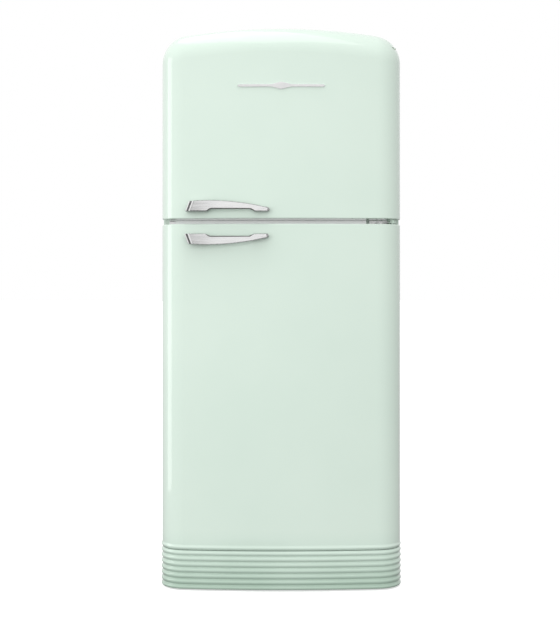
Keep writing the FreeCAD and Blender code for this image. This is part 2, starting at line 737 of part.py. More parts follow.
def ice_bin():
    """Loose ice bin that stands on the freezer shelf under the tray."""
    z = FREEZER_SHELF_Z + GLASS + 0.4
    body = tray(-336, -188, DRAWER_FRONT, 118, z, 1622, BIN_WALL, 14)
    lip = box(-310, -214, DRAWER_FRONT - 8, DRAWER_FRONT + 1, 1606, 1618)
    return fuse([body, lip])


# ---- refrigerator inside ----


def air_duct():
    """Cold air channel up the back wall, with three pairs of outlets."""
    shell = box(-DUCT_HALF, DUCT_HALF, DUCT_FRONT, FRIDGE_BACK, DUCT_LOW, FRIDGE_CEILING)
    shell = shell.makeFillet(12, [
        edge for edge in upright_edges(shell) if edge.CenterOfMass.y < DUCT_FRONT + 1])
    hollow = box(
        -DUCT_HALF + 12, DUCT_HALF - 12, DUCT_FRONT + 3, FRIDGE_BACK + 1, DUCT_LOW + 10, FRIDGE_CEILING + 1)
    slots = []
    for level in (560, 820, 1080):
        for x in (-50, 50):
            for row in range(3):
                z = level + row * 12
                slots.append(box(x - 28, x + 28, DUCT_FRONT - 1, DUCT_FRONT + 4, z, z + 5))
    return cut(shell, [hollow] + slots)


def control_panel():
    """Ceiling console with pockets for two push buttons, and the lamp lens clipped behind it."""
    housing = round_box(
        -PANEL_HALF, PANEL_HALF, PANEL_FRONT, -40, PANEL_LOW, FRIDGE_CEILING, 10)
    pockets = [
        rod(BUTTON_R + 0.3, (x, PANEL_FRONT - 1, BUTTON_Z), (x, PANEL_FRONT + 14, BUTTON_Z))
        for x in BUTTON_PLACES]
    lens = round_box(-LENS_HALF, LENS_HALF, LENS_FRONT, LENS_BACK, LENS_LOW, FRIDGE_CEILING, 10)
    lens = lens.makeFillet(6, [edge for edge in lens.Edges if edge.BoundBox.ZMax < LENS_LOW + 0.01])
    return group([cut(housing, pockets), lens])


def push_button(x):
    button = rod(
        BUTTON_R, (x, PANEL_FRONT - BUTTON_OUT, BUTTON_Z), (x, PANEL_FRONT + 11, BUTTON_Z))
    return button.makeFillet(
        1.5, [edge for edge in button.Edges if edge.Closed and edge.CenterOfMass.y < PANEL_FRONT])


def glass_shelf(z):
    """Glass plate with a front and a back trim."""
    plate = box(-SHELF_HALF, SHELF_HALF, SHELF_FRONT, SHELF_BACK, z, z + GLASS)
    front = box(-SHELF_HALF, SHELF_HALF, SHELF_FRONT - 8, SHELF_FRONT, z - 4, z + 12)
    back = box(-SHELF_HALF, SHELF_HALF, SHELF_BACK, SHELF_BACK + 8, z - 2, z + 22)
    return group([plate, front, back])


def crisper_cover():
    """Glass plate over the two vegetable drawers."""
    z = CRISPER_COVER_Z
    plate = box(-SHELF_HALF, SHELF_HALF, DRAWER_FRONT + 4, SHELF_BACK, z, z + GLASS)
    front = box(-SHELF_HALF, SHELF_HALF, DRAWER_FRONT - 6, DRAWER_FRONT + 4, z, z + 14)
    return group([plate, front])


def crisper(x0, x1):
    """Clear vegetable drawer with a pull lip along its front."""
    z = FRIDGE_FLOOR + 0.6
    body = tray(x0, x1, DRAWER_FRONT, DRAWER_BACK, z, CRISPER_COVER_Z - 8, 3, 16)
    lip = box(x0 + 40, x1 - 40, DRAWER_FRONT - 10, DRAWER_FRONT + 1, 376, 392)
    return fuse([body, lip])


# ---- doors ----


def freezer_seats():
    low = hinge_seat(FREEZER_DOOR_LOW - 1, FREEZER_DOOR_LOW + BUSH_LONG)
    high = hinge_seat(HINGE_POCKET_Z - BUSH_LONG, HINGE_POCKET_Z + 1)
    return [low, high]


def fridge_seats():
    low = hinge_seat(DOOR_CAP_LOW - 1, FRIDGE_DOOR_LOW + BUSH_LONG)
    high = hinge_seat(FRIDGE_DOOR_HIGH - BUSH_LONG, FRIDGE_DOOR_HIGH + 1)
    return [low, high]


def door_skin(block, hollow, holes):
    return cut(block, [hollow] + holes)


def dyke_bars(z_low, z_high, shrink):
    """The four raised bars round the inside of a door; shrink leaves room for the liner."""
    out = DYKE_HALF - shrink
    inner = DYKE_HALF - DYKE_THICK + shrink
    low = z_low + shrink
    high = z_high - shrink
    low_in = z_low + DYKE_THICK - shrink
    high_in = z_high - DYKE_THICK + shrink
    back = DYKE_DEEP - shrink
    right = box(inner, out, CORE_BACK, back, low, high)
    bottom = box(-inner, inner, CORE_BACK, back, low, low_in)
    top = box(-inner, inner, CORE_BACK, back, high_in, high)
    return [right, mirrored(right), bottom, top]


def door_foam(hollow, holes, z_low, z_high):
    """Foam core, with the foam that fills the dykes as bars standing on it."""
    core = hollow.common(box(-500, 500, DOOR_FRONT - 5, CORE_BACK, 0, HEIGHT + 5))
    return group([cut(core, holes)] + dyke_bars(z_low, z_high, LINER))


def door_liner(hollow, z_low, z_high, holes):
    """Moulded inner sheet: a flat rim and a raised dyke round the bins."""
    sheet = hollow.common(box(-500, 500, CORE_BACK, DOOR_BACK, 0, HEIGHT + 5))
    raised = fuse([sheet] + dyke_bars(z_low, z_high, 0))
    return cut(raised, dyke_bars(z_low, z_high, LINER) + holes)


def gasket(z_low, z_high):
    """Magnetic seal, a rectangular ring clipped to the door's inner rim."""
    outer = box(-GASKET_OUT, GASKET_OUT, DOOR_BACK, GASKET_FACE, z_low, z_high)
    half = GASKET_OUT - GASKET_WIDE
    inner = box(
        -half, half, DOOR_BACK - 1, GASKET_FACE + 1, z_low + GASKET_WIDE, z_high - GASKET_WIDE)
    return outer.cut(inner)


def door_bin(z_low, z_high, front):
    """Clear bin that hangs between the dykes."""
    return tray(-BIN_HALF, BIN_HALF, BIN_BACK, front, z_low, z_high, BIN_WALL, 12)


def dairy_bin():
    return door_bin(DAIRY_LOW, DAIRY_LOW + 62, BIN_FRONT)


def dairy_lid():
    """Clear lid that swings up on a rod along the bin's back edge."""
    half = BIN_HALF - 1
    barrel = rod(4, (-half, LID_PIN_Y, LID_PIN_Z), (half, LID_PIN_Y, LID_PIN_Z))
    top = box(-half, half, LID_PIN_Y, BIN_FRONT + 4, LID_PIN_Z - 2, LID_PIN_Z + 2)
    lip = box(-half, half, BIN_FRONT + 1, BIN_FRONT + 4, DAIRY_LOW + 44, LID_PIN_Z + 2)
    return fuse([barrel, top, lip])


def hinge_bushes(seats, pins):
    """Plastic bearings pressed into a door at its hinge pins."""
    return group([cut(seat, pins) for seat in seats])


def fridge_door_cap():
    """Bottom end cap of the lower door: it swells into the topmost rib of the skirt."""
    low = DOOR_CAP_LOW
    high = FRIDGE_DOOR_LOW
    lip = DOOR_GAP_Z + GROOVE_HALF
    swell = high - 4.5

    def section(place):
        return closed_face([
            Part.LineSegment(place(-PLINTH_IN, low), place(-GROOVE_IN, low)),
            Part.LineSegment(place(-GROOVE_IN, low), place(-GROOVE_LIP, lip)),
            Part.Arc(place(-GROOVE_LIP, lip), place(RIB_OUT, swell - 4.8), place(1.1, swell)),
            Part.Arc(place(1.1, swell), place(0.3, (swell + high) / 2 + 0.3), place(0, high)),
            Part.LineSegment(place(0, high), place(-PLINTH_IN, high)),
            Part.LineSegment(place(-PLINTH_IN, high), place(-PLINTH_IN, low))])

    plate = plan_prism(PLINTH_IN - 1, low, high, DOOR_BACK)
    band = around_front(section, DOOR_BACK)
    reach = DOOR_HALF + RIB_OUT
    limit = round_box(-reach, reach, DOOR_FRONT - 100, DOOR_BACK, low, high, BACK_CORNER_R)
    return cut(fuse([band, plate]).common(limit), fridge_seats())


def badge():
    """Thin bright bar with a small lozenge at its middle, centred on the freezer door."""
    right_upper = [(0, 12), (34, 4), (139, 4), (145, 0)]
    right_lower = [(x, -z) for x, z in reversed(right_upper[:-1])]
    left = [(-x, -z) for x, z in right_upper[1:] + right_lower[:-1]]
    outline = [V(x, HANDLE_FRONT, BADGE_Z + z) for x, z in right_upper + right_lower + left]
    bar = Part.Face(Part.makePolygon(outline + outline[:1])).extrude(V(0, 60, 0))
    axis_foot = V(0, DOOR_FRONT + BULGE_R, BADGE_Z - 50)
    proud = Part.makeCylinder(BULGE_R + BADGE_PROUD, 100, axis_foot, V(0, 0, 1))
    return bar.common(proud).cut(Part.makeCylinder(BULGE_R, 100, axis_foot, V(0, 0, 1)))


# ---- handles ----


def handle_outline(shift_x, shift_z):
    """Front view of the lower handle: a long wedge with a relieved grip along its upper edge."""
    def at(x, z):
        return V(shift_x + x, HANDLE_FRONT, shift_z - z)

    heel_low = at(-314, 0.5)
    heel_high = at(-302, 33)
    crest = at(-213.5, 35.6)
    shoulder = at(-133.5, 29.0)
    nose_high = at(-47.5, 13)
    tip = at(-38, 6.5)
    nose_low = at(-45.5, 0)
    grip_right = at(-86, 0)
    grip_right_top = at(-104, 9.5)
    grip_left_top = at(-228, 9.5)
    grip_left = at(-245, 0)
    edges = [
        Part.LineSegment(heel_low, heel_high),
        Part.Arc(heel_high, crest, shoulder),
        Part.Arc(shoulder, at(-89.5, 22.2), nose_high),
        Part.Arc(nose_high, tip, nose_low),
        Part.LineSegment(nose_low, grip_right),
        Part.LineSegment(grip_right, grip_right_top),
        Part.LineSegment(grip_right_top, grip_left_top),
        Part.LineSegment(grip_left_top, grip_left),
        Part.LineSegment(grip_left, heel_low),
    ]
    return Part.Face(Part.Wire([edge.toShape() for edge in edges]))


def handle(flip_z, shift_x, shift_z, door):
    """Cast metal pull: two feet on the door and a grip with room for fingers behind it."""
    bar = handle_outline(shift_x, shift_z).extrude(V(0, 70, 0))
    bar = bar.makeChamfer(3, [
        edge for edge in bar.Edges if edge.BoundBox.YMax < HANDLE_FRONT + 0.01])
    if flip_z > 0:
        bar = bar.mirror(V(0, 0, shift_z), V(0, 0, 1))
    z_mid = shift_z + flip_z * 18
    fingers = box(
        shift_x - 240, shift_x - 92, GRIP_BACK, HANDLE_FRONT + 80, z_mid - 40, z_mid + 40)
    return bar.cut(fingers).cut(door)


# ---- hinges ----


def arm(x_left, x_right, z_low, z_high, y_root):
    """Flat hinge arm that narrows to a round eye at the pin."""
    eye = rod(13, (PIN_X, PIN_Y, z_low), (PIN_X, PIN_Y, z_high))
    outline = [
        V(x_left, y_root, z_low), V(x_right, y_root, z_low), V(PIN_X + 13, PIN_Y, z_low),
        V(PIN_X - 11, PIN_Y - 7, z_low), V(x_left, y_root, z_low)]
    return fuse([eye, Part.Face(Part.makePolygon(outline)).extrude(V(0, 0, z_high - z_low))])


def screw_heads(places, y_face):
    """Slotted cheese-head screws that stand proud of a face that looks forward."""
    screws = []
    for x, z in places:
        head = Part.makeCylinder(4, 1.6, V(x, y_face - 1.6, z), V(0, 1, 0))
        slot = box(x - 3, x + 3, y_face - 1.7, y_face - 1.0, z - 0.5, z + 0.5)
        screws.append(head.cut(slot))
    return screws


def top_hinge():
    """Bracket on the cabinet's face, with an arm over the door and a pin pointing down."""
    flange = box(363.5, 388, CABINET_FRONT - 2.5, CABINET_FRONT, 1772, HINGE_ARM_HIGH)
    plate = box(
        PIN_X - HINGE_ARM_HALF, PIN_X + HINGE_ARM_HALF, PIN_Y, CABINET_FRONT,
        HINGE_ARM_LOW, HINGE_ARM_HIGH)
    flange = flange.common(box(300, PIN_X + HINGE_ARM_HALF, -300, 0, 0, HEIGHT))
    eye = rod(HINGE_ARM_HALF, (PIN_X, PIN_Y, HINGE_ARM_LOW), (PIN_X, PIN_Y, HINGE_ARM_HIGH))
    pin = rod(PIN_R, (PIN_X, PIN_Y, HINGE_POCKET_Z - BUSH_LONG + 2), (PIN_X, PIN_Y, HINGE_ARM_LOW))
    return fuse([flange, plate, eye, pin])


def top_hinge_cover():
    """Painted cap that carries the door's round shoulder over the hinge arm."""
    skin = freezer_block(0, DOOR_BACK)
    corner = hinge_corner(0)
    top = skin.common(corner).common(box(300, 450, -400, DOOR_BACK, HINGE_ARM_HIGH, HEIGHT))
    reach = box(
        PIN_X - HINGE_ARM_HALF - 2, DOOR_HALF, DOOR_BACK - 0.5, CABINET_FRONT, HINGE_ARM_HIGH, HEIGHT)
    bridge = arch_prism(CABINET_INSET, 1700, DOOR_BACK - 0.5, CABINET_FRONT).common(reach)
    return fuse([top, bridge])


def middle_hinge():
    """Bracket in the gap between the doors, with one pin up and one pin down."""
    flange = box(299, 359, CABINET_FRONT - 2.5, CABINET_FRONT, 1214.7, 1230.5)
    plate = arm(345, 358, MIDDLE_ARM_LOW, MIDDLE_ARM_HIGH, CABINET_FRONT - 1)
    boss = rod(4.5, (325.5, CABINET_FRONT - 7, 1223), (325.5, CABINET_FRONT - 1, 1223))
    boss = boss.makeFillet(1.5, [
        edge for edge in boss.Edges if edge.Closed and edge.CenterOfMass.y < CABINET_FRONT - 6])
    pin = rod(
        PIN_R, (PIN_X, PIN_Y, FRIDGE_DOOR_HIGH - BUSH_LONG + 2),
        (PIN_X, PIN_Y, FREEZER_DOOR_LOW + BUSH_LONG - 2))
    washer = rod(WASHER_R, (PIN_X, PIN_Y, MIDDLE_ARM_HIGH), (PIN_X, PIN_Y, FREEZER_DOOR_LOW - 0.2))
    return fuse([flange, plate, pin, washer, boss])


def bottom_hinge():
    """Bracket under the lower door, with its pin pointing up."""
    flange = box(318, 388, CABINET_FRONT - 4, CABINET_FRONT, 66, BOTTOM_ARM_HIGH)
    plate = arm(320, 386, BOTTOM_ARM_LOW, BOTTOM_ARM_HIGH, CABINET_FRONT - 1)
    pin = rod(
        PIN_R, (PIN_X, PIN_Y, BOTTOM_ARM_LOW), (PIN_X, PIN_Y, FRIDGE_DOOR_LOW + BUSH_LONG - 2))
    washer = rod(WASHER_R, (PIN_X, PIN_Y, BOTTOM_ARM_HIGH), (PIN_X, PIN_Y, DOOR_CAP_LOW - 0.2))
    return fuse([flange, plate, pin, washer])


def hinge_screws():
    middle = screw_heads([(312.5, 1222.6), (338.5, 1222.6)], CABINET_FRONT - 2.5)
    bottom = screw_heads([(330, 80), (376, 80), (330, 108), (376, 108)], CABINET_FRONT - 4)
    return group(middle + bottom)


def main():
    os.makedirs("parts", exist_ok=True)
    freezer_form = ease_edges(freezer_block(0, DOOR_BACK), FREEZER_DOOR_LOW, DOOR_EDGE_R)
    freezer_hollow = freezer_block(SHEET, DOOR_BACK + 10)
    fridge_form = ease_edges(fridge_block(0, DOOR_BACK), FRIDGE_DOOR_HIGH, DOOR_EDGE_R)
    fridge_hollow = fridge_block(SHEET, DOOR_BACK + 10)
    freezer_holes = freezer_seats() + [hinge_corner(HINGE_GAP)]
    fridge_holes = fridge_seats()
    pins = [rod(BUSH_BORE_R, (PIN_X, PIN_Y, 0), (PIN_X, PIN_Y, HEIGHT))]
    nodes = {
        "outer_casing": outer_casing(),
        "rear_panel": rear_panel(),
        "cabinet_insulation": cabinet_insulation(),
        "freezer_liner": freezer_liner(),
        "fridge_liner": fridge_liner(),
        "front_mullion": front_mullion(),
        "base_frame": base_frame(),
        "plinth": plinth(),
        "compressor": compressor(),
        "condenser_coil": condenser_coil(),
        "condenser_fan": condenser_fan(),
        "fan_motors": fan_motors(),
        "drip_tray": drip_tray(),
        "machine_cover": machine_cover(),
        "mains_inlet": mains_inlet(),
        "rear_spacers": rear_spacers(),
        "rear_rollers": rear_rollers(),
        "front_foot_left": levelling_foot(-FOOT_X),
        "front_foot_right": levelling_foot(FOOT_X),
        "evaporator": evaporator(),
        "evaporator_fan": evaporator_fan(),
        "evaporator_cover": evaporator_cover(),
        "freezer_shelf": freezer_shelf(),
        "ice_maker_frame": ice_maker_frame(),
        "ice_tray": ice_tray(),
        "ice_bin": ice_bin(),
        "air_duct": air_duct(),
        "control_panel": control_panel(),
        "button_left": push_button(BUTTON_PLACES[0]),
        "button_right": push_button(BUTTON_PLACES[1]),
        "glass_shelf_upper": glass_shelf(UPPER_SHELF_Z),
        "glass_shelf_lower": glass_shelf(LOWER_SHELF_Z),
        "crisper_cover": crisper_cover(),
        "crisper_left": crisper(-335, -4),
        "crisper_right": crisper(4, 335),
        "top_hinge": top_hinge(),
        "top_hinge_cover": top_hinge_cover(),
        "middle_hinge": middle_hinge(),
        "bottom_hinge": bottom_hinge(),
        "hinge_screws": hinge_screws(),
        "freezer_door_skin": door_skin(freezer_form, freezer_hollow, freezer_holes),
        "freezer_door_foam": door_foam(
            freezer_hollow, freezer_holes, FREEZER_DYKE_LOW, FREEZER_DYKE_HIGH),
        "freezer_door_liner": door_liner(
            freezer_hollow, FREEZER_DYKE_LOW, FREEZER_DYKE_HIGH, freezer_holes),
        "freezer_door_gasket": gasket(1235.5, 1802.0),
        "freezer_door_bushes": hinge_bushes([
            hinge_seat(FREEZER_DOOR_LOW, FREEZER_DOOR_LOW + BUSH_LONG),
            hinge_seat(HINGE_POCKET_Z - BUSH_LONG, HINGE_POCKET_Z)], pins),
        "freezer_door_handle": handle(1, 0, 1252.5, freezer_form),
        "freezer_door_badge": badge(),
        "freezer_bin_upper": door_bin(1520, 1610, BIN_FRONT),
        "freezer_bin_lower": door_bin(1305, 1395, BIN_FRONT),
        "fridge_door_skin": door_skin(fridge_form, fridge_hollow, fridge_holes),
        "fridge_door_foam": door_foam(
            fridge_hollow, fridge_holes, FRIDGE_DYKE_LOW, FRIDGE_DYKE_HIGH),
        "fridge_door_liner": door_liner(
            fridge_hollow, FRIDGE_DYKE_LOW, FRIDGE_DYKE_HIGH, fridge_holes),
        "fridge_door_gasket": gasket(162.5, 1209.5),
        "fridge_door_bushes": hinge_bushes([
            hinge_seat(DOOR_CAP_LOW, FRIDGE_DOOR_LOW + BUSH_LONG),
            hinge_seat(FRIDGE_DOOR_HIGH - BUSH_LONG, FRIDGE_DOOR_HIGH)], pins),
        "fridge_door_cap": fridge_door_cap(),
        "fridge_door_handle": handle(-1, -3, 1179.5, fridge_form),
        "dairy_bin": dairy_bin(),
        "dairy_lid": dairy_lid(),
        "door_balcony": door_bin(690, 785, BIN_FRONT),
        "bottle_bin": door_bin(225, 350, BIN_FRONT + 6),
    }
    for name, shape in nodes.items():
        shape.exportStep("parts/" + name + ".step")
        solids = shape.Solids
        print(name, len(solids), shape.isValid(), round(sum(s.Volume for s in solids)))
    print(len(nodes), "nodes")


main()
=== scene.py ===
import math

import bmesh
import bpy
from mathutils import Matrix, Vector


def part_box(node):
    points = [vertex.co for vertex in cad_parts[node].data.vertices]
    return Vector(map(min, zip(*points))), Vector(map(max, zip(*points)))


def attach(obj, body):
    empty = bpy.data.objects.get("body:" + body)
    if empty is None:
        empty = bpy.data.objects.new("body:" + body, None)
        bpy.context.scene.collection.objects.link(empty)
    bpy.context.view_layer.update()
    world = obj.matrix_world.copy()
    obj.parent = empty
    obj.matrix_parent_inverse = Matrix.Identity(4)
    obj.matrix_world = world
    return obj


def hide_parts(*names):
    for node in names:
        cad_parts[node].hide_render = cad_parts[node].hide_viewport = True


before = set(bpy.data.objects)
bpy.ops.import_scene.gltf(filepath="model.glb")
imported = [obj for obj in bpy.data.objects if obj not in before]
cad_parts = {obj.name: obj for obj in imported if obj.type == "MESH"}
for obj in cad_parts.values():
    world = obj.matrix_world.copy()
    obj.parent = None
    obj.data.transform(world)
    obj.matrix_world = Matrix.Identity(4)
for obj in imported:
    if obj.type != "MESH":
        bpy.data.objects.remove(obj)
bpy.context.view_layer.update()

MM = 0.001

# ---- driving dimensions, in millimetres, as the frame has them ----
DOOR_FRONT = -364.0
DOOR_BULGE_R = 2890.0
DOOR_BACK = -239.0
HANDLE_FRONT = -404.0
HANDLE_CORE = -401.2
GRIP_BACK = -388.0
CABINET_FRONT = -227.0
CABINET_REAR = 384.0

# ---- fittings, in millimetres ----
BEVEL_STEPS = 3
CLIP_SKIN = 0.3
CLIP_LONG = 20.5
CLIP_LOW = 1214.5
CLIP_TOP = 1227.8
BAND_BELOW_RIM = 4.0
RAIL_HALF = 345.2
RAIL_SKIN = 0.3
RAIL_LIP = 1.4
SHELF_FRONT = -110.0
SHELF_BACK = 285.0
SHELF_HEIGHTS = (("upper", 960.0), ("lower", 690.0))
LENS_HALF = 110.3
LENS_RIBS = 14
SCREW_TURNS = 24
COVER_SCREW_HEIGHTS = (56.0, 170.0, 286.0)
COVER_TOP_SCREWS = (-200.0, 0.0, 200.0)
PANEL_SCREW_X = 384.0
PANEL_TOP_SCREWS = (-220.0, 0.0, 220.0)

# ---- camera and studio, in metres and watts: place, aim, size and power of each softbox ----
CAMERA_PLACE = (0.0, -4.564, 1.0)
CAMERA_LENS = 74.0
CAMERA_SHIFT = (-0.002, -0.0347)
SKY_GLOW = 1.0
UNDER_GLOW = 0.22
GLOW_BY_HEIGHT = (-0.5, 0.15, UNDER_GLOW, SKY_GLOW)
GLOW_BY_SIDE = (0.2, 1.0, 1.0, 0.86)
PAPER_WHITE = 1.0
FLOOR_LIFT = 0.5
FLOOR_HALF = 300.0
OVERHEAD = ((-0.3, -0.45, 3.7), (0.0, -0.3, 1.0), (3.0, 1.3), 16.0)
LEFT_STRIP = ((-2.4, -0.40, 1.25), (0.0, -0.35, 1.2), (0.9, 2.5), 14.0)
FRONT_FILL = ((-0.6, -4.8, 1.4), (0.0, 0.0, 0.8), (3.6, 2.2), 105.0)

# ---- where the middle hinge's paint begins, in metres across ----
PAINT_STARTS = (0.3598, 0.3602)

# ---- the enamel: its share of colour drift, and the share and heights in metres of painted shade that darkens it towards the floor ----
DRIFT_SHARE = 0.4
FLOOR_SHADE_SHARE = 0.6
FLOOR_SHADE_HEIGHTS = (0.0, 0.2)

# ---- where the brushed faces get painted shade, darker towards the pulls' heels as a darker reflection would make them, in metres across ----
HEEL_PAINTED_SHADE = (-0.295, -0.20)

# ---- colours, linear ----
MINT = (0.605, 0.715, 0.635, 1.0)
MINT_DEEP = (0.58, 0.695, 0.615, 1.0)
# painted shade near the floor: the enamel's darkest colour
MINT_PAINTED_SHADE = (0.31, 0.43, 0.345, 1.0)
LINER_WHITE = (0.86, 0.87, 0.86, 1.0)
LINER_SHADE = (0.82, 0.83, 0.825, 1.0)


# ---------------------------------------------------------------- materials

class Finish:
    """A Principled material whose patterns are laid out in the object's own metres."""

    def __init__(self, name, **sockets):
        self.material = bpy.data.materials.new(name)
        self.material.use_nodes = True
        self.tree = self.material.node_tree
        self.shader = self.tree.nodes["Principled BSDF"]
        self.bumped = None
        for socket, value in sockets.items():
            self.shader.inputs[socket.replace("_", " ")].default_value = value

    def node(self, kind, **settings):
        made = self.tree.nodes.new(kind)
        for name, value in settings.items():
            setattr(made, name, value)
        return made

    def join(self, source, target):
        self.tree.links.new(source, target)

    def along(self, kind, output, axis):
        """One axis of the object's coordinates, of the position or of the normal."""
        source = self.node(kind)
        split = self.node("ShaderNodeSeparateXYZ")
        self.join(source.outputs[output], split.inputs["Vector"])
        return split.outputs[axis]

    def combine(self, operation, *parts):
        """Arithmetic on outputs and plain numbers."""
        made = self.node("ShaderNodeMath", operation=operation)
        for part, socket in zip(parts, made.inputs):
            if isinstance(part, float):
                socket.default_value = part
            else:
                self.join(part, socket)
        return made.outputs[0]

    def place(self, stretch=(1, 1, 1)):
        where = self.node("ShaderNodeTexCoord")
        mapping = self.node("ShaderNodeMapping")
        mapping.inputs["Scale"].default_value = stretch
        self.join(where.outputs["Object"], mapping.inputs["Vector"])
        return mapping.outputs["Vector"]

    def noise(self, scale, stretch=(1, 1, 1), detail=2.0):
        pattern = self.node("ShaderNodeTexNoise")
        pattern.inputs["Scale"].default_value = scale
        pattern.inputs["Detail"].default_value = detail
        self.join(self.place(stretch), pattern.inputs["Vector"])
        return pattern.outputs["Fac"]

    def cells(self, scale, output="Distance"):
        pattern = self.node("ShaderNodeTexVoronoi")
        pattern.inputs["Scale"].default_value = scale
        self.join(self.place(), pattern.inputs["Vector"])
        return pattern.outputs[output]

    def spread(self, factor, low, high, start=0.3, end=0.7):
        ranged = self.node("ShaderNodeMapRange")
        ranged.inputs["From Min"].default_value = start
        ranged.inputs["From Max"].default_value = end
        ranged.inputs["To Min"].default_value = low
        ranged.inputs["To Max"].default_value = high
        self.join(factor, ranged.inputs["Value"])
        return ranged.outputs["Result"]

    def paint(self, factor, *stops):
        """Base colour from a factor, by (position, colour) stops."""
        holder = self.node("ShaderNodeValToRGB")
        ramp = holder.color_ramp
        ramp.elements[0].position, ramp.elements[0].color = stops[0]
        ramp.elements[1].position, ramp.elements[1].color = stops[-1]
        for position, colour in stops[1:-1]:
            ramp.elements.new(position).color = colour
        self.join(factor, holder.inputs["Fac"])
        self.join(holder.outputs["Color"], self.shader.inputs["Base Color"])

    def rough(self, factor, low, high):
        self.join(self.spread(factor, low, high), self.shader.inputs["Roughness"])

    def bump(self, height, depth, strength):
        """Adds relief of that depth in metres on top of any relief there already."""
        made = self.node("ShaderNodeBump")
        made.inputs["Distance"].default_value = depth
        made.inputs["Strength"].default_value = strength
        self.join(height, made.inputs["Height"])
        if self.bumped:
            self.join(self.bumped, made.inputs["Normal"])
        self.bumped = made.outputs["Normal"]
        self.join(self.bumped, self.shader.inputs["Normal"])

    def soft_edges(self, radius):
        """Rounds the shading of sharp edges, as a folded or moulded edge really is."""
        made = self.node("ShaderNodeBevel", samples=4)
        made.inputs["Radius"].default_value = radius
        self.bumped = made.outputs["Normal"]
        self.join(self.bumped, self.shader.inputs["Normal"])


def grey(value):
    """Neutral colour of that linear value."""
    return (value, value, value, 1.0)


def mint_enamel():
    """Stove enamel: pastel coat with clear gloss, faint orange peel and colour drift, with
    painted shade that darkens it towards the floor.
    """
    finish = Finish(
        "mint_enamel_paint", Coat_Weight=1.0, Coat_Roughness=0.035, Coat_IOR=1.5,
        Specular_IOR_Level=0.35)
    height = finish.along("ShaderNodeNewGeometry", "Position", "Z")
    # painted shade: the enamel darker towards the floor, over its lowest 0.2 m
    painted_floor_shade = finish.spread(height, 0.0, FLOOR_SHADE_SHARE, *FLOOR_SHADE_HEIGHTS)
    drift_and_floor_shade = finish.combine("MULTIPLY_ADD", finish.noise(2.2, detail=3.0), DRIFT_SHARE, painted_floor_shade)
    finish.paint(drift_and_floor_shade, (0.15, MINT_PAINTED_SHADE), (0.72, MINT_DEEP), (0.84, MINT))
    finish.rough(finish.noise(14.0), 0.32, 0.42)
    finish.bump(finish.noise(190.0, detail=1.0), 0.00004, 0.35)
    return finish.material


def insulating_foam():
    """Cream rigid foam with open cells."""
    finish = Finish("foam_core", Roughness=0.9, Specular_IOR_Level=0.2)
    finish.paint(finish.noise(26.0, detail=6.0),
                 (0.3, (0.72, 0.60, 0.34, 1.0)), (0.7, (0.84, 0.75, 0.50, 1.0)))
    finish.bump(finish.cells(420.0), 0.0006, 0.7)
    return finish.material


def white_liner():
    """Vacuum-formed sheet: even white with a faint drawn ripple and soft gloss."""
    finish = Finish("liner_sheet", Coat_Weight=0.15, Coat_Roughness=0.25)
    finish.soft_edges(0.004)
    finish.paint(finish.noise(3.0, detail=3.0), (0.3, LINER_SHADE), (0.65, LINER_WHITE))
    finish.rough(finish.noise(9.0), 0.28, 0.4)
    finish.bump(finish.noise(60.0, detail=2.0), 0.00008, 0.4)
    return finish.material


def brushed_trim():
    """Satin metal brushed along its length, with painted shade that darkens it towards the pulls'
    heels.
    """
    finish = Finish("brushed_metal", Metallic=1.0, Anisotropic=0.55)
    grain = finish.noise(60.0, stretch=(0.25, 14.0, 14.0), detail=5.0)
    across = finish.along("ShaderNodeTexCoord", "Object", "X")
    # brushing grain plus painted shade: the face darker towards the heel, standing in for a
    # darker reflection
    grain_and_painted_shade = finish.combine("ADD", finish.spread(across, -0.30, 0.12, *HEEL_PAINTED_SHADE), grain)
    finish.paint(grain_and_painted_shade, (0.1, grey(0.56)), (0.45, grey(0.86)), (0.8, grey(0.99)))
    finish.rough(grain, 0.2, 0.34)
    finish.bump(grain, 0.00003, 0.5)
    return finish.material


def satin_strip():
    """Smooth satin strip between the doors, drawn along its length."""
    finish = Finish("satin_strip", Metallic=1.0)
    grain = finish.noise(40.0, stretch=(0.15, 8.0, 8.0), detail=4.0)
    finish.paint(grain, (0.3, (0.86, 0.88, 0.87, 1.0)), (0.7, (0.94, 0.96, 0.95, 1.0)))
    finish.rough(grain, 0.17, 0.24)
    finish.bump(grain, 0.00001, 0.3)
    return finish.material


def painted_hinge():
    """Bare plated flange whose arm and eye are painted in the body colour."""
    finish = Finish("part_painted_hinge", Coat_Weight=0.2, Coat_Roughness=0.2)
    across = finish.along("ShaderNodeTexCoord", "Object", "X")
    painted = finish.spread(across, 0.0, 1.0, *PAINT_STARTS)
    finish.paint(painted, (0.0, grey(0.95)), (1.0, MINT))
    finish.join(finish.combine("SUBTRACT", 1.0, painted), finish.shader.inputs["Metallic"])
    finish.rough(finish.noise(80.0, detail=6.0), 0.26, 0.4)
    return finish.material


def bright_trim():
    """Polished chrome with the faint haze of handling."""
    finish = Finish("polished_chrome", Metallic=1.0)
    finish.soft_edges(0.0006)
    haze = finish.noise(35.0, detail=6.0)
    finish.paint(haze, (0.3, grey(0.72)), (0.7, grey(0.80)))
    finish.rough(haze, 0.06, 0.15)
    finish.bump(finish.noise(500.0), 0.000008, 0.3)
    return finish.material


def hinge_steel():
    """Plated steel strip with a dulled surface."""
    finish = Finish("plated_steel", Metallic=1.0)
    finish.soft_edges(0.0006)
    marks = finish.noise(80.0, stretch=(1, 1, 3), detail=6.0)
    finish.paint(marks, (0.3, grey(0.44)), (0.7, grey(0.58)))
    finish.rough(marks, 0.24, 0.42)
    finish.bump(marks, 0.00005, 0.4)
    return finish.material


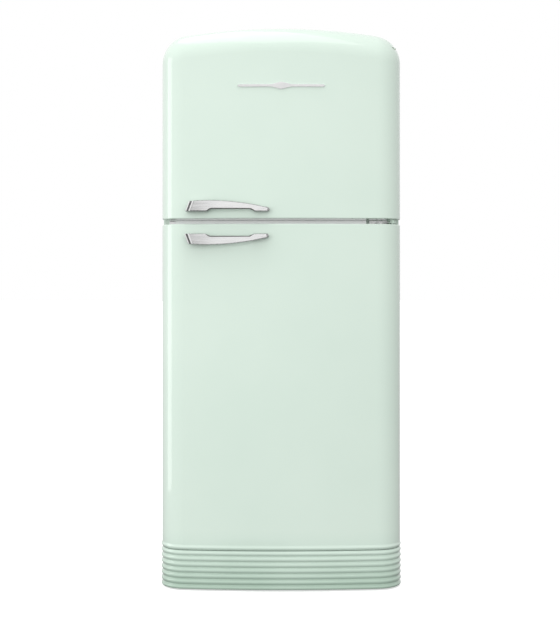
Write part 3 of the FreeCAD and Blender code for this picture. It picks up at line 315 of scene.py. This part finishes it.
def zinc_steel():
    """Galvanised sheet: flat crystals of zinc that catch the light differently."""
    finish = Finish("galvanised_sheet", Metallic=0.9)
    finish.soft_edges(0.0006)
    crystals = finish.cells(70.0, "Color")
    finish.paint(crystals, (0.1, grey(0.40)), (0.9, grey(0.56)))
    finish.rough(finish.cells(70.0, "Color"), 0.34, 0.5)
    finish.bump(finish.noise(240.0, detail=3.0), 0.00004, 0.4)
    return finish.material


def black_steel():
    """Dipped black enamel, with dust that settles on what faces up."""
    finish = Finish("black_dip_enamel", Coat_Weight=0.3, Coat_Roughness=0.2)
    upward = finish.along("ShaderNodeNewGeometry", "Normal", "Z")
    settled = finish.spread(upward, 0.0, 1.0, 0.2, 1.0)
    dust = finish.combine("MULTIPLY", settled, finish.noise(60.0, detail=6.0))
    finish.paint(dust, (0.0, grey(0.012)), (0.7, (0.11, 0.105, 0.095, 1.0)))
    finish.rough(finish.noise(50.0), 0.3, 0.5)
    finish.bump(finish.noise(300.0, detail=2.0), 0.00006, 0.4)
    return finish.material


def aluminium_fin():
    """Rolled sheet of the heat exchangers' fins."""
    finish = Finish("rolled_aluminium", Metallic=1.0)
    rolling = finish.noise(90.0, stretch=(1, 1, 8), detail=5.0)
    finish.paint(rolling, (0.3, grey(0.62)), (0.7, grey(0.76)))
    finish.rough(rolling, 0.3, 0.45)
    finish.bump(rolling, 0.00003, 0.4)
    return finish.material


def moulded_plastic(name, dark, light, low, high):
    """Injection-moulded plastic with a fine spark-eroded texture."""
    finish = Finish(name)
    finish.soft_edges(0.0008)
    finish.paint(finish.noise(18.0, detail=4.0), (0.3, dark), (0.7, light))
    finish.rough(finish.noise(30.0), low, high)
    finish.bump(finish.noise(900.0, detail=1.0), 0.00004, 0.35)
    return finish.material


def seal_rubber():
    """Soft grey vinyl of the door seals."""
    finish = Finish("seal_vinyl", Specular_IOR_Level=0.4)
    finish.paint(finish.noise(20.0, detail=5.0),
                 (0.3, (0.60, 0.61, 0.60, 1.0)), (0.7, (0.68, 0.69, 0.68, 1.0)))
    finish.rough(finish.noise(25.0), 0.5, 0.65)
    finish.bump(finish.noise(700.0), 0.00005, 0.3)
    return finish.material


def clear_plastic():
    """Clear styrene with slight flow marks."""
    finish = Finish("clear_styrene", Transmission_Weight=0.93, IOR=1.46)
    flow = finish.noise(7.0, stretch=(1, 1, 3), detail=3.0)
    finish.paint(flow, (0.3, (0.90, 0.95, 0.96, 1.0)), (0.7, (0.96, 0.985, 0.99, 1.0)))
    finish.rough(flow, 0.03, 0.09)
    finish.bump(flow, 0.0002, 0.25)
    return finish.material


def shelf_glass():
    """Toughened float glass with a green cast."""
    finish = Finish("toughened_glass", Transmission_Weight=0.96, IOR=1.5)
    wave = finish.noise(5.0, detail=1.0)
    finish.paint(wave, (0.3, (0.86, 0.95, 0.91, 1.0)), (0.7, (0.90, 0.97, 0.94, 1.0)))
    finish.rough(finish.noise(40.0, detail=5.0), 0.0, 0.05)
    finish.bump(wave, 0.0001, 0.2)
    return finish.material


def rim_painted_shade_metal():
    """Metal darkened as painted shade on a casting's undercut rim."""
    finish = Finish("painted_shade_rim", Metallic=1.0)
    marks = finish.noise(120.0, detail=5.0)
    finish.paint(marks, (0.3, grey(0.36)), (0.7, grey(0.48)))
    finish.rough(marks, 0.2, 0.34)
    finish.bump(marks, 0.00002, 0.4)
    return finish.material


def band_metal():
    """Matt bright metal of the raised band round a pull's heel."""
    finish = Finish("bright_band", Metallic=1.0)
    marks = finish.noise(90.0, detail=5.0)
    finish.paint(marks, (0.3, grey(0.95)), (0.7, grey(1.0)))
    finish.rough(marks, 0.34, 0.46)
    finish.bump(marks, 0.00001, 0.3)
    return finish.material


def lamp_plastic():
    """Frosted lens that lets some light through."""
    finish = Finish("frosted_lens", Transmission_Weight=0.35, Subsurface_Weight=0.2)
    finish.paint(finish.noise(30.0), (0.3, grey(0.88)), (0.7, grey(0.94)))
    finish.rough(finish.noise(60.0), 0.25, 0.4)
    finish.bump(finish.noise(400.0), 0.00006, 0.4)
    return finish.material


FINISHES = {
    "mint_enamel": mint_enamel(),
    "insulating_foam": insulating_foam(),
    "white_liner": white_liner(),
    "brushed_trim": brushed_trim(),
    "bright_trim": bright_trim(),
    "hinge_steel": hinge_steel(),
    "zinc_steel": zinc_steel(),
    "black_steel": black_steel(),
    "aluminium_fin": aluminium_fin(),
    "dark_plastic": moulded_plastic("black_moulding", grey(0.018), grey(0.032), 0.42, 0.55),
    "white_plastic": moulded_plastic("white_moulding", grey(0.78), grey(0.84), 0.26, 0.38),
    "seal_rubber": seal_rubber(),
    "clear_plastic": clear_plastic(),
    "shelf_glass": shelf_glass(),
}
LAMP_PLASTIC = lamp_plastic()
# painted shade for the pulls' rims; also the dark strip over the strip's end clip
RIM_PAINTED_SHADE = rim_painted_shade_metal()
BRIGHT_BAND = band_metal()
SATIN_STRIP = satin_strip()
# near-black colour painted as shade in the pulls' groove and under their grips
GROOVE_PAINTED_SHADE = moulded_plastic("painted_shade_moulding", grey(0.07), grey(0.11), 0.35, 0.5)


def dress_frame():
    """Gives every CAD node the finish of its slot, and three nodes a finish of their own."""
    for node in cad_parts.values():
        node.data.materials[0] = FINISHES[node.data.materials[0].name]
    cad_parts["middle_hinge"].data.materials[0] = painted_hinge()
    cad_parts["front_mullion"].data.materials[0] = SATIN_STRIP
    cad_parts["top_hinge"].data.materials[0] = FINISHES["mint_enamel"]


# ---------------------------------------------------------------- mesh helpers

def to_object(name, mesh_in_mm, finishes, smooth_angle=35.0):
    """Turns a bmesh in millimetres into an object in metres, smooth but for sharp edges."""
    bmesh.ops.recalc_face_normals(mesh_in_mm, faces=mesh_in_mm.faces)
    mesh = bpy.data.meshes.new(name)
    mesh_in_mm.to_mesh(mesh)
    mesh_in_mm.free()
    for vertex in mesh.vertices:
        vertex.co = vertex.co * MM
    for finish in finishes:
        mesh.materials.append(finish)
    mesh.shade_smooth()
    mesh.set_sharp_from_angle(angle=math.radians(smooth_angle))
    made = bpy.data.objects.new(name, mesh)
    bpy.context.scene.collection.objects.link(made)
    flats = made.modifiers.new("flat_faces", "WEIGHTED_NORMAL")
    flats.keep_sharp = True
    return made


def prism(shape, outline, y_front, y_back, bevel=0.0, finish=0, front_finish=None):
    """Adds an upright outline of (x, z) points, extruded along Y, with a rounded front rim."""
    front = [shape.verts.new((x, y_front, z)) for x, z in outline]
    back = [shape.verts.new((x, y_back, z)) for x, z in outline]
    face = shape.faces.new(front)
    made = [face, shape.faces.new(reversed(back))]
    count = len(outline)
    for i in range(count):
        j = (i + 1) % count
        made.append(shape.faces.new((front[j], front[i], back[i], back[j])))
    for each in made:
        each.material_index = finish
    face.material_index = finish if front_finish is None else front_finish
    if bevel:
        bmesh.ops.bevel(
            shape, geom=list(face.edges), offset=bevel, segments=BEVEL_STEPS,
            affect="EDGES", profile=0.5, material=finish)


def sweep_x(shape, profile, x_left, x_right, finish=0):
    """Adds a closed profile of (y, z) points swept along X, with closed ends."""
    left = [shape.verts.new((x_left, y, z)) for y, z in profile]
    right = [shape.verts.new((x_right, y, z)) for y, z in profile]
    made = [shape.faces.new(left), shape.faces.new(reversed(right))]
    count = len(profile)
    for i in range(count):
        j = (i + 1) % count
        made.append(shape.faces.new((left[i], right[i], right[j], left[j])))
    for each in made:
        each.material_index = finish


def arc_through(first, middle, last, count):
    """Points along the circle through three points, without the last one."""
    (ax, az), (bx, bz), (cx, cz) = first, middle, last
    twice = 2 * (ax * (bz - cz) + bx * (cz - az) + cx * (az - bz))
    a2, b2, c2 = ax * ax + az * az, bx * bx + bz * bz, cx * cx + cz * cz
    ox = (a2 * (bz - cz) + b2 * (cz - az) + c2 * (az - bz)) / twice
    oz = (a2 * (cx - bx) + b2 * (ax - cx) + c2 * (bx - ax)) / twice
    radius = math.hypot(ax - ox, az - oz)
    begin = math.atan2(az - oz, ax - ox)
    through = (math.atan2(bz - oz, bx - ox) - begin) % math.tau
    turn = (math.atan2(cz - oz, cx - ox) - begin) % math.tau
    if through > turn:
        turn -= math.tau
    return [(ox + radius * math.cos(begin + turn * i / count),
             oz + radius * math.sin(begin + turn * i / count)) for i in range(count)]


def drawn_in(outline, distance):
    """The same closed outline moved inwards by a distance, corners mitred."""
    count = len(outline)
    area = sum(outline[i][0] * outline[(i + 1) % count][1]
               - outline[(i + 1) % count][0] * outline[i][1] for i in range(count))
    side = 1.0 if area > 0 else -1.0
    moved = []
    for i in range(count):
        before = Vector(outline[i]) - Vector(outline[i - 1])
        after = Vector(outline[(i + 1) % count]) - Vector(outline[i])
        first = Vector((-before.y, before.x)).normalized() * side
        second = Vector((-after.y, after.x)).normalized() * side
        mitre = (first + second) / max(0.3, 1 + first.dot(second))
        moved.append(tuple(Vector(outline[i]) + mitre * distance))
    return moved


def kept_side(outline, keeps):
    """The part of a closed outline where keeps((x, z)) isn't negative."""
    kept = []
    for i, point in enumerate(outline):
        last = outline[i - 1]
        here, there = keeps(point), keeps(last)
        if here * there < 0:
            share = there / (there - here)
            kept.append(tuple(Vector(last).lerp(Vector(point), share)))
        if here >= 0:
            kept.append(point)
    return kept


def on_door(x):
    """Depth of the doors' bowed front at that x."""
    return DOOR_FRONT + DOOR_BULGE_R - math.sqrt(DOOR_BULGE_R ** 2 - x * x)


# ---------------------------------------------------------------- handles

HEEL_FOOT = 0.5
HEEL_HIGH = 32.5
HEEL_LEAN = 12.0
HEEL_BOW = 1.6
HEEL_EDGE = 4.2
HEEL_GROOVE = 10.4
HEEL_BAND = 17.0
# outline of a dark slab behind each grip's edge, put there as painted shade
GRIP_SHADE_SLAB = ((69.5, 0.8), (85.0, 8.2), (211.0, 8.2), (227.5, 0.8), (217.0, 13.0), (80.0, 13.0))
TIP_RING = 267.5
TIP_LEAN = 0.25
LEFT_FOOT = 73.0
RIGHT_FOOT = 223.0
CHROME, BRUSHED, SHADED, SHADED_RIM, BAND = range(5)


def handle_outline():
    """Front view of a pull, in millimetres from its outer low corner."""
    heel_low, heel_high = (0.0, HEEL_FOOT), (HEEL_LEAN, HEEL_FOOT + HEEL_HIGH)
    shoulder, nose_high = (180.5, 29.0), (266.5, 13.0)
    nose_low = (268.5, 0.0)
    outline = [heel_low]
    outline += arc_through(heel_high, (100.5, 35.6), shoulder, 26)
    outline += arc_through(shoulder, (224.5, 22.2), nose_high, 14)
    outline += arc_through(nose_high, (276.0, 6.5), nose_low, 12)
    outline += [nose_low, (228.0, 0.0)]
    outline += arc_through((223.0, 2.8), (217.0, 7.2), (210.0, 9.5), 4)
    outline += [(210.0, 9.5), (86.0, 9.5)]
    outline += arc_through((82.0, 9.2), (78.0, 6.4), (74.0, 2.8), 4)
    outline += [(69.0, 0.0)]
    return outline


def along_heel(point):
    """Distance in from the heel's leaning, slightly bowed edge."""
    up = (point[1] - HEEL_FOOT) / HEEL_HIGH
    return point[0] - HEEL_LEAN * up + HEEL_BOW * 4 * up * (1 - up)


def door_handle(name, node, upside_down, body):
    """Cast pull: rim darkened with painted shade, brushed face with a polished bevel and painted
    shade towards the heel, groove with painted shade and band at its heel, and a dark slab of
    painted shade along the grip.
    """
    low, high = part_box(node)
    flip = -1 if upside_down else 1
    base_x, base_z = low.x / MM, (high.z if upside_down else low.z) / MM

    def placed(outline):
        return [(base_x + u, base_z + flip * w) for u, w in outline]

    outline = handle_outline()
    shape = bmesh.new()
    prism(shape, placed(outline), HANDLE_CORE, GRIP_BACK, bevel=2.0, finish=SHADED_RIM)
    face = kept_side(drawn_in(outline, 1.7), lambda p: along_heel(p) - HEEL_BAND)
    face = kept_side(face, lambda p: TIP_RING - p[0] + TIP_LEAN * p[1])
    prism(shape, placed(face), HANDLE_FRONT, HANDLE_CORE + 1, bevel=0.8,
          finish=CHROME, front_finish=BRUSHED)
    band = kept_side(drawn_in(outline, 0.8), lambda p: along_heel(p) - HEEL_GROOVE)
    band = kept_side(band, lambda p: HEEL_BAND - 0.8 - along_heel(p))
    prism(shape, placed(band), HANDLE_FRONT, HANDLE_CORE + 1, bevel=0.6, finish=BAND)
    edge = kept_side(drawn_in(outline, 0.4), lambda p: HEEL_EDGE - along_heel(p))
    prism(shape, placed(edge), HANDLE_FRONT + 0.3, HANDLE_CORE + 1, bevel=0.4, finish=BAND)
    groove = kept_side(drawn_in(outline, 0.6), lambda p: along_heel(p) - HEEL_EDGE)
    groove = kept_side(groove, lambda p: HEEL_GROOVE - along_heel(p))
    # the groove's dark floor is painted shade
    prism(shape, placed(groove), HANDLE_CORE - 0.25, HANDLE_CORE + 1, finish=SHADED)
    # dark slab showing along the grip's edge as painted shade
    prism(shape, placed(GRIP_SHADE_SLAB), HANDLE_CORE - 0.9, GRIP_BACK - 0.5, bevel=0.6,
          finish=SHADED)
    left_foot = kept_side(drawn_in(outline, 0.5), lambda p: LEFT_FOOT - p[0])
    prism(shape, placed(left_foot), GRIP_BACK - 1, on_door(base_x) + 1.5, finish=SHADED_RIM)
    right_foot = kept_side(drawn_in(outline, 0.5), lambda p: p[0] - RIGHT_FOOT)
    prism(shape, placed(right_foot), GRIP_BACK - 1, on_door(base_x + RIGHT_FOOT) + 1.5,
          finish=SHADED_RIM)
    made = to_object(
        name, shape,
        [FINISHES["bright_trim"], FINISHES["brushed_trim"], GROOVE_PAINTED_SHADE, RIM_PAINTED_SHADE, BRIGHT_BAND])
    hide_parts(node)
    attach(made, body)


# ---------------------------------------------------------------- door details

GASKET_PROFILE = (
    (2.0, 0.0), (9.0, 0.0), (9.0, 1.8), (7.4, 2.8), (10.3, 4.4), (7.6, 6.0), (10.4, 7.2),
    (11.0, 7.9), (11.0, 11.0), (10.5, 11.5), (0.5, 11.5), (0.0, 11.0), (0.0, 7.9),
    (0.6, 7.2), (3.4, 6.0), (0.7, 4.4), (3.6, 2.8), (2.0, 1.8),
)


def door_gasket(name, node, body):
    """Folded magnetic seal, welded at its mitred corners."""
    low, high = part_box(node)
    shape = bmesh.new()
    corners = ((-1, 0), (1, 0), (1, 1), (-1, 1))
    rings = []
    for side, top in corners:
        ring = []
        for across, deep in GASKET_PROFILE:
            x = side * (high.x / MM - across)
            z = high.z / MM - across if top else low.z / MM + across
            ring.append(shape.verts.new((x, DOOR_BACK + deep, z)))
        rings.append(ring)
    count = len(GASKET_PROFILE)
    for k in range(4):
        here, there = rings[k], rings[(k + 1) % 4]
        for i in range(count):
            j = (i + 1) % count
            shape.faces.new((here[i], here[j], there[j], there[i]))
    made = to_object(name, shape, [FINISHES["seal_rubber"]])
    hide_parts(node)
    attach(made, body)


def bin_band(name, node, body):
    """Bright strip with rounded edges along the face of a bin."""
    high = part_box(node)[1]
    reach = high.x / MM - 16
    top = high.z / MM - BAND_BELOW_RIM
    face = high.y / MM
    shape = bmesh.new()
    profile = [
        (face - 0.4, top), (face + 0.5, top), (face + 0.9, top - 0.6), (face + 1.0, top - 4.0),
        (face + 0.9, top - 7.4), (face + 0.5, top - 8.0), (face - 0.4, top - 8.0)]
    sweep_x(shape, profile, -reach, reach)
    made = to_object(name, shape, [FINISHES["bright_trim"]])
    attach(made, body)


def shelf_rail(name, y0, y1, z0, z1, slot):
    """Snap-on edging of a shelf: a crowned face with a shadow groove under its top edge."""
    y0, y1, z0, z1 = y0 - RAIL_SKIN, y1 + RAIL_SKIN, z0 - RAIL_SKIN, z1 + RAIL_SKIN
    mid = (z0 + z1) / 2
    profile = [
        (y1, z0), (y1, z1), (y0 + 1.2, z1), (y0 + 0.3, z1 - 0.7), (y0 + 0.1, z1 - 2.4),
        (y0 + 0.9, z1 - 2.9), (y0 + 0.9, z1 - 3.5), (y0 + 0.1, z1 - 4.0), (y0, mid),
        (y0 + 0.1, z0 + RAIL_LIP), (y0 + 0.5, z0 + 0.5), (y0 + 1.2, z0)]
    shape = bmesh.new()
    sweep_x(shape, profile, -RAIL_HALF, RAIL_HALF)
    made = to_object(name, shape, [FINISHES[slot]])
    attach(made, "cabinet")


def shelf_edges():
    """Chrome rails at the fronts of the shelves and white ones at the glass shelves' backs."""
    for name, z in SHELF_HEIGHTS:
        shelf_rail(f"shelf_{name}_front_rail", SHELF_FRONT - 8, SHELF_FRONT, z - 4, z + 12,
                   "bright_trim")
        shelf_rail(f"shelf_{name}_back_rail", SHELF_BACK, SHELF_BACK + 8, z - 2, z + 22,
                   "white_plastic")
    shelf_rail("freezer_shelf_front_rail", SHELF_FRONT - 8, SHELF_FRONT, 1491.0, 1504.6,
               "bright_trim")
    shelf_rail("crisper_cover_front_rail", -61.0, -51.0, 412.0, 426.0, "bright_trim")


def lamp_lens():
    """Ribbed diffuser under the ceiling lamp."""
    y0, y1, low, top = -30.3, 70.3, 1177.6, 1196.8
    steps = LENS_RIBS * 4
    profile = [(y0, top), (y0, low + 5)]
    for i in range(steps + 1):
        y = y0 + 4 + (y1 - y0 - 8) * i / steps
        profile.append((y, low + 0.9 * (1 - abs(math.sin(math.pi * LENS_RIBS * i / steps)))))
    profile += [(y1, low + 5), (y1, top)]
    shape = bmesh.new()
    sweep_x(shape, profile, -LENS_HALF, LENS_HALF)
    made = to_object("lamp_lens_cover", shape, [LAMP_PLASTIC], smooth_angle=60.0)
    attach(made, "cabinet")


def strip_end_clip():
    """Bright end clip of the strip between the doors, with a dark strip of painted shadow over
    its top edge.
    """
    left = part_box("front_mullion")[0].x / MM - CLIP_SKIN
    face = CABINET_FRONT - 3.0
    shape = bmesh.new()
    body = [
        (face - 0.7, CLIP_LOW), (face - 0.9, CLIP_LOW + 0.7), (face - 0.9, CLIP_TOP - 1.2),
        (face - 0.2, CLIP_TOP), (face + 0.6, CLIP_TOP), (face + 0.6, CLIP_LOW)]
    sweep_x(shape, body, left, left + CLIP_LONG)
    # painted shadow: a dark strip along the clip's top edge
    shade = [
        (face - 0.3, CLIP_TOP), (face - 0.3, CLIP_TOP + 1.4), (face + 0.6, CLIP_TOP + 1.4),
        (face + 0.6, CLIP_TOP)]
    sweep_x(shape, shade, left + 2.0, left + CLIP_LONG, finish=1)
    made = to_object(
        "strip_end_clip", shape, [FINISHES["bright_trim"], RIM_PAINTED_SHADE], smooth_angle=10.0)
    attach(made, "cabinet")


# ---------------------------------------------------------------- back of the cabinet

SCREW_RINGS = ((1.0, 0.0), (1.0, 0.12), (0.86, 0.3), (0.6, 0.4), (0.0, 0.4), (0.0, 0.1))


def screw_field(name, places, radius):
    """Pan-head screws on a face that looks backwards, each with a cross recess."""
    shape = bmesh.new()
    for x, z in places:
        rings = []
        for reach, rise in SCREW_RINGS:
            ring = []
            for k in range(SCREW_TURNS):
                recess = 0.5 if k % 6 == 0 else 0.17
                out = radius * (reach or recess)
                angle = math.tau * k / SCREW_TURNS
                ring.append(shape.verts.new((
                    x + out * math.cos(angle), CABINET_REAR + radius * rise,
                    z + out * math.sin(angle))))
            rings.append(ring)
        for lower, upper in zip(rings, rings[1:]):
            for k in range(SCREW_TURNS):
                j = (k + 1) % SCREW_TURNS
                shape.faces.new((lower[k], lower[j], upper[j], upper[k]))
        shape.faces.new(rings[-1])
    made = to_object(name, shape, [FINISHES["zinc_steel"]])
    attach(made, "cabinet")


def rear_screws():
    """Screws round the machine cover and round the rear panel."""
    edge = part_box("machine_cover")[1].x / MM - 9
    cover = [(side * edge, z) for side in (-1, 1) for z in COVER_SCREW_HEIGHTS]
    cover += [(x, 288.0) for x in COVER_TOP_SCREWS]
    screw_field("machine_cover_screws", cover, 5.0)
    panel = [(side * PANEL_SCREW_X, z) for side in (-1, 1) for z in range(360, 1761, 200)]
    panel += [(x, 1840.0) for x in PANEL_TOP_SCREWS]
    screw_field("rear_panel_screws", panel, 4.5)


# ---------------------------------------------------------------- studio

def softbox(name, place, aim, size, power, mirrored=True):
    """Rectangular lamp; one that isn't mirrored lights the object but shows in no gloss."""
    light = bpy.data.lights.new(name, "AREA")
    light.shape = "RECTANGLE"
    light.size, light.size_y = size
    light.energy = power
    made = bpy.data.objects.new(name, light)
    made.visible_glossy = mirrored
    made.location = place
    made.rotation_euler = (Vector(aim) - Vector(place)).to_track_quat("-Z", "Y").to_euler()
    bpy.context.scene.collection.objects.link(made)


def studio():
    """White paper room: soft light from above, a tall strip at the left, a fill in front."""
    scene = bpy.context.scene
    scene.view_settings.view_transform = "Standard"
    world = bpy.data.worlds.new("studio_room")
    scene.world = world
    world.use_nodes = True
    tree = world.node_tree
    room = tree.nodes["Background"]
    toward = tree.nodes.new("ShaderNodeTexCoord")
    split = tree.nodes.new("ShaderNodeSeparateXYZ")
    tree.links.new(toward.outputs["Generated"], split.inputs["Vector"])
    glow = tree.nodes.new("ShaderNodeMath")
    glow.operation = "MULTIPLY"
    for part, (axis, limits) in enumerate((("Z", GLOW_BY_HEIGHT), ("X", GLOW_BY_SIDE))):
        fade = tree.nodes.new("ShaderNodeMapRange")
        for socket, value in zip(("From Min", "From Max", "To Min", "To Max"), limits):
            fade.inputs[socket].default_value = value
        tree.links.new(split.outputs[axis], fade.inputs["Value"])
        tree.links.new(fade.outputs["Result"], glow.inputs[part])
    tree.links.new(glow.outputs["Value"], room.inputs["Strength"])
    room.inputs["Color"].default_value = grey(1.0)
    paper = tree.nodes.new("ShaderNodeBackground")
    paper.inputs["Color"].default_value = grey(1.0)
    paper.inputs["Strength"].default_value = PAPER_WHITE
    seen = tree.nodes.new("ShaderNodeLightPath")
    choose = tree.nodes.new("ShaderNodeMixShader")
    tree.links.new(seen.outputs["Is Camera Ray"], choose.inputs["Fac"])
    tree.links.new(room.outputs["Background"], choose.inputs[1])
    tree.links.new(paper.outputs["Background"], choose.inputs[2])
    tree.links.new(choose.outputs["Shader"], tree.nodes["World Output"].inputs["Surface"])

    softbox("overhead", *OVERHEAD)
    softbox("left_strip", *LEFT_STRIP)
    softbox("front_fill", *FRONT_FILL, mirrored=False)

    floor_shape = bmesh.new()
    for side, back in ((-1, -1), (1, -1), (1, 1), (-1, 1)):
        floor_shape.verts.new((side * FLOOR_HALF / MM, back * FLOOR_HALF / MM, 0.0))
    floor_shape.faces.new(floor_shape.verts)
    paper_floor = Finish(
        "floor_paper", Roughness=0.9, Specular_IOR_Level=0.1,
        Emission_Color=grey(1.0), Emission_Strength=FLOOR_LIFT)
    paper_floor.paint(paper_floor.noise(3.0), (0.3, grey(0.90)), (0.7, grey(0.92)))
    floor = to_object("floor", floor_shape, [paper_floor.material])
    floor.visible_diffuse = False
    floor.visible_glossy = False


def camera():
    """Level view from the front."""
    data = bpy.data.cameras.new("camera")
    data.lens = CAMERA_LENS
    data.shift_x, data.shift_y = CAMERA_SHIFT
    data.clip_end = 100.0
    made = bpy.data.objects.new("camera", data)
    made.location = CAMERA_PLACE
    made.rotation_euler = (math.radians(90), 0.0, 0.0)
    bpy.context.scene.collection.objects.link(made)
    bpy.context.scene.camera = made


dress_frame()
door_handle("freezer_pull", "freezer_door_handle", False, "freezer_door")
door_handle("fridge_pull", "fridge_door_handle", True, "fridge_door")
door_gasket("freezer_seal", "freezer_door_gasket", "freezer_door")
door_gasket("fridge_seal", "fridge_door_gasket", "fridge_door")
for bin_node, bin_body in (
        ("freezer_bin_upper", "freezer_door"), ("freezer_bin_lower", "freezer_door"),
        ("door_balcony", "fridge_door"), ("bottle_bin", "fridge_door")):
    bin_band(bin_node + "_band", bin_node, bin_body)
strip_end_clip()
shelf_edges()
lamp_lens()
rear_screws()
studio()
camera()
